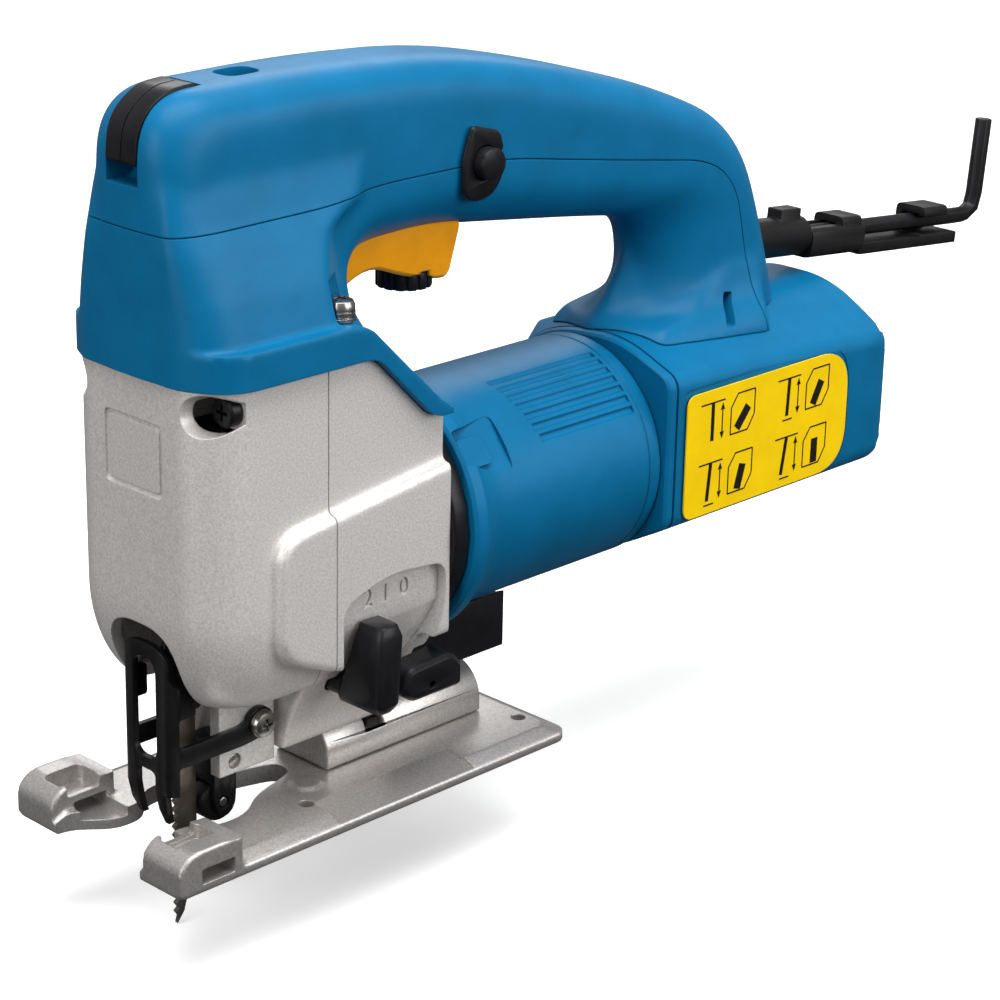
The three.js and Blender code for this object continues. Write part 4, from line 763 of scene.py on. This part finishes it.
# ---------------------------------------------------------------- shoe
def shoe():
    level = []
    for skin, z in ((0.8, 0), (0, 0.8), (0, 3.3), (4.6, SHOE_TOP)):
        front, rear, half = SHOE_FRONT + skin, SHOE_REAR - skin, SHOE_HALF - skin
        corners = [(front, -half, 2), (rear - 3, -half, 1), (rear, -half + 3, 1),
                   (rear, half - 3, 1), (rear - 3, half, 1), (front, half, 2)]
        level.append([(*p, z) for p in outline(corners)])
    body = loft(level)
    for side in (-1, 1):
        near, far = sorted((side * 19.3, side * SHOE_HALF))
        lip = outline([(SHOE_FRONT, 0.8, 1), (SHOE_FRONT, 9.4, 3), (SHOE_FRONT + 4.5, 12.7, 3),
                       (-51, 12.7, 1), (-51, 0.8)])
        join(body, prism("y", lip, near, far), rod("z", 4, 3, 6.2, (-9, side * 13)))
    soften(body, 0.6, 2)
    opening = outline([
        (-78, -18.3), (-68, -18.3, 4), (-58, -10, 4), (-49, -10, 4), (-44, -15.5, 6), (-33, -15.5, 6),
        (-24, -8.5, 7), (-11, -5, 4), (-6, -3, 3), (-6, 3, 3), (-11, 5, 4), (-24, 8.5, 7), (-33, 15.5, 6),
        (-44, 15.5, 6), (-49, 10, 4), (-58, 10, 4), (-68, 18.3, 4), (-78, 18.3)])
    cut(body, prism("z", opening, -1, 30))
    for side in (-1, 1):
        y0, y1 = sorted((side * 21, side * 29))
        pocket = outline([(-68.5, y0, 1), (-55.5, y0, 1), (-55.5, y1, 2), (-68.5, y1, 2)])
        cut(body, prism("z", pocket, 8.0, 20))
        y0, y1 = sorted((side * 18, side * 22))
        cut(body, prism("y", outline([(-67.5, 9.2, 1), (-56.5, 9.2, 1), (-55.5, 20), (-67.5, 20)]), y0, y1))
        y0, y1 = sorted((side * 18, side * 36))
        cut(body, prism("y", outline([(-53.6, 12), (-49, 12), (-49, 15), (-60, 15), (-60, 13)]), y0, y1))
        y0, y1 = sorted((side * 5, side * 40))
        window = outline([(-65.4, 2.9, 0.6), (-54.1, 2.9, 0.6), (-54.1, 7.2, 0.6), (-65.4, 7.2, 0.6)])
        cut(body, prism("y", window, y0, y1))
        wedge = [(side * 35.5, 3.3), (side * 35.5, 6.6), (side * 23, 6.6), (side * 23, SHOE_TOP - 0.02)]
        cut(body, prism("x", wedge, -16, 36))
        cut(body, rod("z", 2.2, -1, 20, (-17, side * 22)), rod("z", 2.2, -1, 20, (67, side * 22)))
    cut(body, prism("z", outline([(14, -7, 2), (46, -7, 2), (46, 7, 2), (14, 7, 2)]), -1, 20))
    return finish(body, "shoe", 28)


# ---------------------------------------------------------------- small pieces
def cross_recess(axis, at, depth_from, depth_to, size=1.9, width=0.9):
    """A cross-shaped driver recess tool in a head whose axis is `axis`."""
    u, v = at
    shape = [(u - width / 2, v - size), (u + width / 2, v - size), (u + width / 2, v - width / 2),
             (u + size, v - width / 2), (u + size, v + width / 2), (u + width / 2, v + width / 2),
             (u + width / 2, v + size), (u - width / 2, v + size), (u - width / 2, v + width / 2),
             (u - size, v + width / 2), (u - size, v - width / 2), (u - width / 2, v - width / 2)]
    return prism(axis, shape, *sorted((depth_from, depth_to)))


def ring_profile(points, sides=48):
    """A body turned about Z from (radius, height) points that start and end on the axis."""
    faces, verts = [], [(0, 0, points[0][1]), (0, 0, points[-1][1])]
    inner = points[1:-1]
    for s in range(sides):
        angle = 2 * math.pi * s / sides
        verts += [(r * math.cos(angle), r * math.sin(angle), z) for r, z in inner]
    count = len(inner)
    for s in range(sides):
        a, b = 2 + s * count, 2 + ((s + 1) % sides) * count
        faces += [(0, a, b), (1, b + count - 1, a + count - 1)]
        faces += [(a + i, a + i + 1, b + i + 1, b + i) for i in range(count - 1)]
    return add("ring", verts, faces)


def screws():
    for side, label in ((-1, "left"), (1, "right")):
        z0 = STRAP_SEAT + GAP
        head = ring_profile([
            (0, 119), (1.8, 119), (1.8, z0), (4.2, z0), (4.2, z0 + 1.0), (3.5, z0 + 1.0), (3.5, z0 + 1.3),
            (4.0, z0 + 1.3), (4.0, z0 + 2.6), (3.3, z0 + 2.6), (3.3, z0 + 2.8), (3.9, z0 + 2.9),
            (3.9, z0 + 4.2), (3.4, z0 + 5.3), (2.2, z0 + 5.9), (0, z0 + 6.1)])
        head.data.transform(Matrix.Translation((STRAP_X * MM, side * STRAP_Y * MM, 0)))
        cut(head, cross_recess("z", (STRAP_X, side * STRAP_Y), z0 + 4.2, z0 + 8))
        finish(head, f"strap_screw_{label}")
        pan = ring_profile([
            (0, 3), (1.8, 3), (1.8, 11.4), (4, 11.4), (4, 12.6), (3.4, 13.5), (2, 13.9), (0, 14)])
        pan.data.transform(Matrix.Translation((GUARD_SCREW[0] * MM, 0, GUARD_SCREW[1] * MM))
                           @ Matrix.Rotation(-side * math.pi / 2, 4, "X"))
        cut(pan, cross_recess("y", GUARD_SCREW, side * 12.7, side * 16))
        finish(pan, f"guard_screw_{label}")
        cap = ring_profile([
            (0, 11.5), (2, 11.5), (2, 44.3), (4.2, 44.3), (4.2, 47.2), (3.6, 47.8), (0, 47.8)])
        cap.data.transform(Matrix.Translation((0, side * CASE_SCREW_Y * MM, CASE_SCREW_Z * MM))
                           @ Matrix.Rotation(-math.pi / 2, 4, "Y"))
        cut(cap, cross_recess("x", (side * CASE_SCREW_Y, CASE_SCREW_Z), -50, -46.2, 2.2))
        finish(cap, f"case_screw_{label}")


def chip_guard():
    """A sheet bent round the blade, with an arched slot in front and an arm back to each screw."""
    front, rear, half, sheet, top, legs = -55.3, -23, 11.1, 1.8, 58, 15
    body = prism("z", outline([
        (rear, -half), (front, -half, 5.5), (front, half, 5.5), (rear, half), (rear, half - sheet),
        (front + sheet, half - sheet, 3.7), (front + sheet, sheet - half, 3.7),
        (rear, sheet - half)], 10), legs, top)
    common(body, prism("y", outline([
        (-60, legs - 1), (-52.2, legs - 1), (-52.2, 23.4, 1), (-30, 23.4, 2), (-23.5, 24.2, 4), (-20, 24.2),
        (-20, 32.8), (-23.5, 32.8, 4), (-30, 29, 2), (-52.2, 29, 1.5), (-52.2, 37.6, 1), (-46.8, 37.6, 1),
        (-46.8, 46.6, 1), (-50.5, 46.6), (-50.5, top + 1), (-60, top + 1)]), -20, 20))
    common(body, prism("x", outline([
        (-12, 0), (-12, 46.6), (-9.2, 47.6, 1.5), (-9.2, top, 9), (9.2, top, 9), (9.2, 47.6, 1.5),
        (12, 46.6), (12, 0)], 12), -70, 0))
    for side in (-1, 1):
        near, far = sorted((side * (half - sheet), side * half))
        tip = [[(face, side * inner, z), (face, side * outer, z), (face + sheet, side * outer, z),
                (face + sheet, side * inner, z)]
               for z, inner, outer, face in ((15.5, 3.9, 8, front), (10, 4, 7.6, front + 1),
                                             (5.5, 4.6, 6.2, front + 2.6))]
        join(body, rod("y", 4.6, near, far, GUARD_SCREW), loft(tip))
        rib = prism("z", arc(0.9, (-51.6, side * (half - 0.5)), 0, 350, 17), 37.8, 46.4)
        join(body, common(rib, block(-60, -40, -half, half, 30, 50)))
    slot = outline([(-4.8, 24.4, 4), (-4.8, 53.8, 4.6), (4.8, 53.8, 4.6), (4.8, 24.4, 4)], 12)
    cut(body, prism("x", slot, -70, -48))
    cut(body, prism("x", outline([(-3.9, 0), (-3.9, 21, 2), (3.9, 21, 2), (3.9, 0)]), -70, -48))
    cut(body, rod("y", 2.1, -20, 20, GUARD_SCREW))
    return finish(bevel(body, 0.4), "chip_guard")


def release_lever():
    """The hooked lever over the front of the handle, with a fine groove along its middle."""
    pivot = (LEVER_X, LEVER_Z)
    side = outline([
        (LEVER_X, LEVER_Z + LEVER_HUB), (-49, 206.4, 9), (-57.8, 199.3, 6), (-58.9, 188.5, 1),
        (-54.5, 187.2, 1), (-52.5, 195.5, 5), (-45.5, 199.5, 3), (LEVER_X, LEVER_Z - LEVER_HUB + 1)], 12)
    body = join(prism("y", side, -LEVER_HALF, LEVER_HALF),
                rod("y", LEVER_HUB, -LEVER_HALF, LEVER_HALF, pivot, 72))
    bevel(body, 0.9, 3)
    kept = prism("y", outline([
        (-36, 206.6), (-48.9, 206.1, 9), (-57.45, 199.1, 6), (-58.55, 188, 1), (-58, 180),
        (-36, 180)], 12), -1, 1)
    cut(body, cut(block(-62, LEVER_X, -0.25, 0.25, 188.5, 209), kept), rod("y", 2.3, -20, 20, pivot))
    return finish(body, "release_lever")


REFINED = {
    # node: bevel width in mm
    "bevel_cradle": 0.4, "bevel_screw": 0.3, "flange_ring": 0.5, "dust_duct": 0.5, "guide_bracket": 0.5,
    "guide_pin": 0.3, "roller_fork": 0.5, "guide_roller": 0.6, "roller_pin": 0.3,
    "blade_clamp": 0.5, "selector_lever": 0.7, "blower_lever": 0.3, "lock_plate": 0.25, "lock_button": 0.5,
    "trigger": 0.35, "speed_dial": 0.25, "cord_guard": 0.4, "key_holder": 0.5,
    "hex_key": 0.3, "blade": 0.06, "handle_screw": 0.4, "plunger_rod": 0.3,
}


def refine_small_pieces():
    for node, width in REFINED.items():
        finish(bevel(from_cad(node), width), node)


# ---------------------------------------------------------------- stage
def stage():
    low = CAD_BOUNDS[0][2]
    floor_z = low - 0.0005
    reach, back, rise, bend = 4.5, 3.2, 3.0, 1.2
    profile = [(-reach, 0), (back - bend, 0)]
    turns = np.linspace(0.1, 1.57, 14)
    profile += [(back - bend + bend * math.sin(a), bend - bend * math.cos(a)) for a in turns]
    profile += [(back, rise)]
    facing = Matrix.Rotation(math.atan2(LOOKING[1], LOOKING[0]), 4, "Z")
    points, faces = [], []
    for depth, height in profile:
        for side in (-reach, reach):
            points.append(tuple(facing @ Vector((depth, side, height + floor_z))))
    for i in range(len(profile) - 1):
        faces.append((2 * i, 2 * i + 1, 2 * i + 3, 2 * i + 2))
    mesh = bpy.data.meshes.new("floor")
    mesh.from_pydata(points, [], faces)
    mesh.shade_smooth()
    floor = bpy.data.objects.new("floor", mesh)
    bpy.context.scene.collection.objects.link(floor)
    floor.visible_diffuse = False
    floor.visible_glossy = False
    paper = Finish("paper", (0.93, 0.93, 0.93), 0.85).vary(6, 0.985, 1.0).roughen(40, 0.03)
    paper.shader.inputs["Emission Color"].default_value = (1, 1, 1, 1)
    paper.shader.inputs["Emission Strength"].default_value = 0.3
    mesh.materials.append(paper.material)


def light(name, location, target, size, power, tint=(1, 1, 1)):
    data = bpy.data.lights.new(name, "AREA")
    data.shape = "RECTANGLE"
    data.size, data.size_y = size
    data.energy = power
    data.color = tint
    obj = bpy.data.objects.new(name, data)
    obj.location = location
    obj.rotation_euler = (Vector(target) - Vector(location)).to_track_quat("-Z", "Y").to_euler()
    bpy.context.scene.collection.objects.link(obj)


# The camera's place in metres, its lens in mm, and its heading, downward slope and roll.
CAMERA_PLACE, CAMERA_LENS = (-0.48964, -0.55012, 0.35572), 102.26
YAW, PITCH, ROLL = (math.radians(a) for a in (44.0, 20.18, 1.27))
LOOKING = (math.cos(YAW), math.sin(YAW))


def lights_and_camera():
    middle = (0.08, 0.0, 0.09)
    light("key", (-0.05, -0.3, 1.35), middle, (1.3, 1.0), 24)
    light("side", (-1.3, -0.1, 0.5), middle, (0.7, 0.8), 7)
    light("fill", (0.55, -1.3, 0.55), middle, (1.2, 0.8), 11.5)
    light("rim", (0.9, 0.8, 0.9), middle, (0.9, 0.6), 5)
    world = bpy.data.worlds.new("studio")
    world.use_nodes = True
    sky = world.node_tree
    height = sky.nodes.new("ShaderNodeSeparateXYZ")
    sky.links.new(sky.nodes.new("ShaderNodeTexCoord").outputs["Generated"], height.inputs["Vector"])
    shade_of = sky.nodes.new("ShaderNodeMapRange")
    for name, value in (("From Min", -0.35), ("From Max", 0.35), ("To Min", 0.06), ("To Max", 0.45)):
        shade_of.inputs[name].default_value = value
    sky.links.new(height.outputs["Z"], shade_of.inputs["Value"])
    sky.links.new(shade_of.outputs["Result"], sky.nodes["Background"].inputs["Strength"])
    sky.nodes["Background"].inputs["Color"].default_value = (1, 1, 1, 1)
    bpy.context.scene.world = world
    data = bpy.data.cameras.new("camera")
    data.lens = CAMERA_LENS
    data.sensor_width = 36
    camera = bpy.data.objects.new("camera", data)
    camera.location = CAMERA_PLACE
    ahead = Vector((*LOOKING, -math.tan(PITCH)))
    camera.rotation_euler = (ahead.to_track_quat("-Z", "Y") @ Quaternion((0, 0, 1), ROLL)).to_euler()
    bpy.context.scene.collection.objects.link(camera)
    bpy.context.scene.camera = camera
    bpy.context.scene.view_settings.view_transform = "Standard"


# ---------------------------------------------------------------- build
for node, obj in frame["nodes"].items():
    obj.data.materials.clear()
    obj.data.materials.append(LOOKS[SLOT_OF[node]].material)

case = case_body()
front_cover(case)
gear_housing(case)
drop(case)
motor_barrel()
rear_housing()
info_label()
handle_shells()
shoe()
screws()
chip_guard()
release_lever()
refine_small_pieces()
stage()
lights_and_camera()
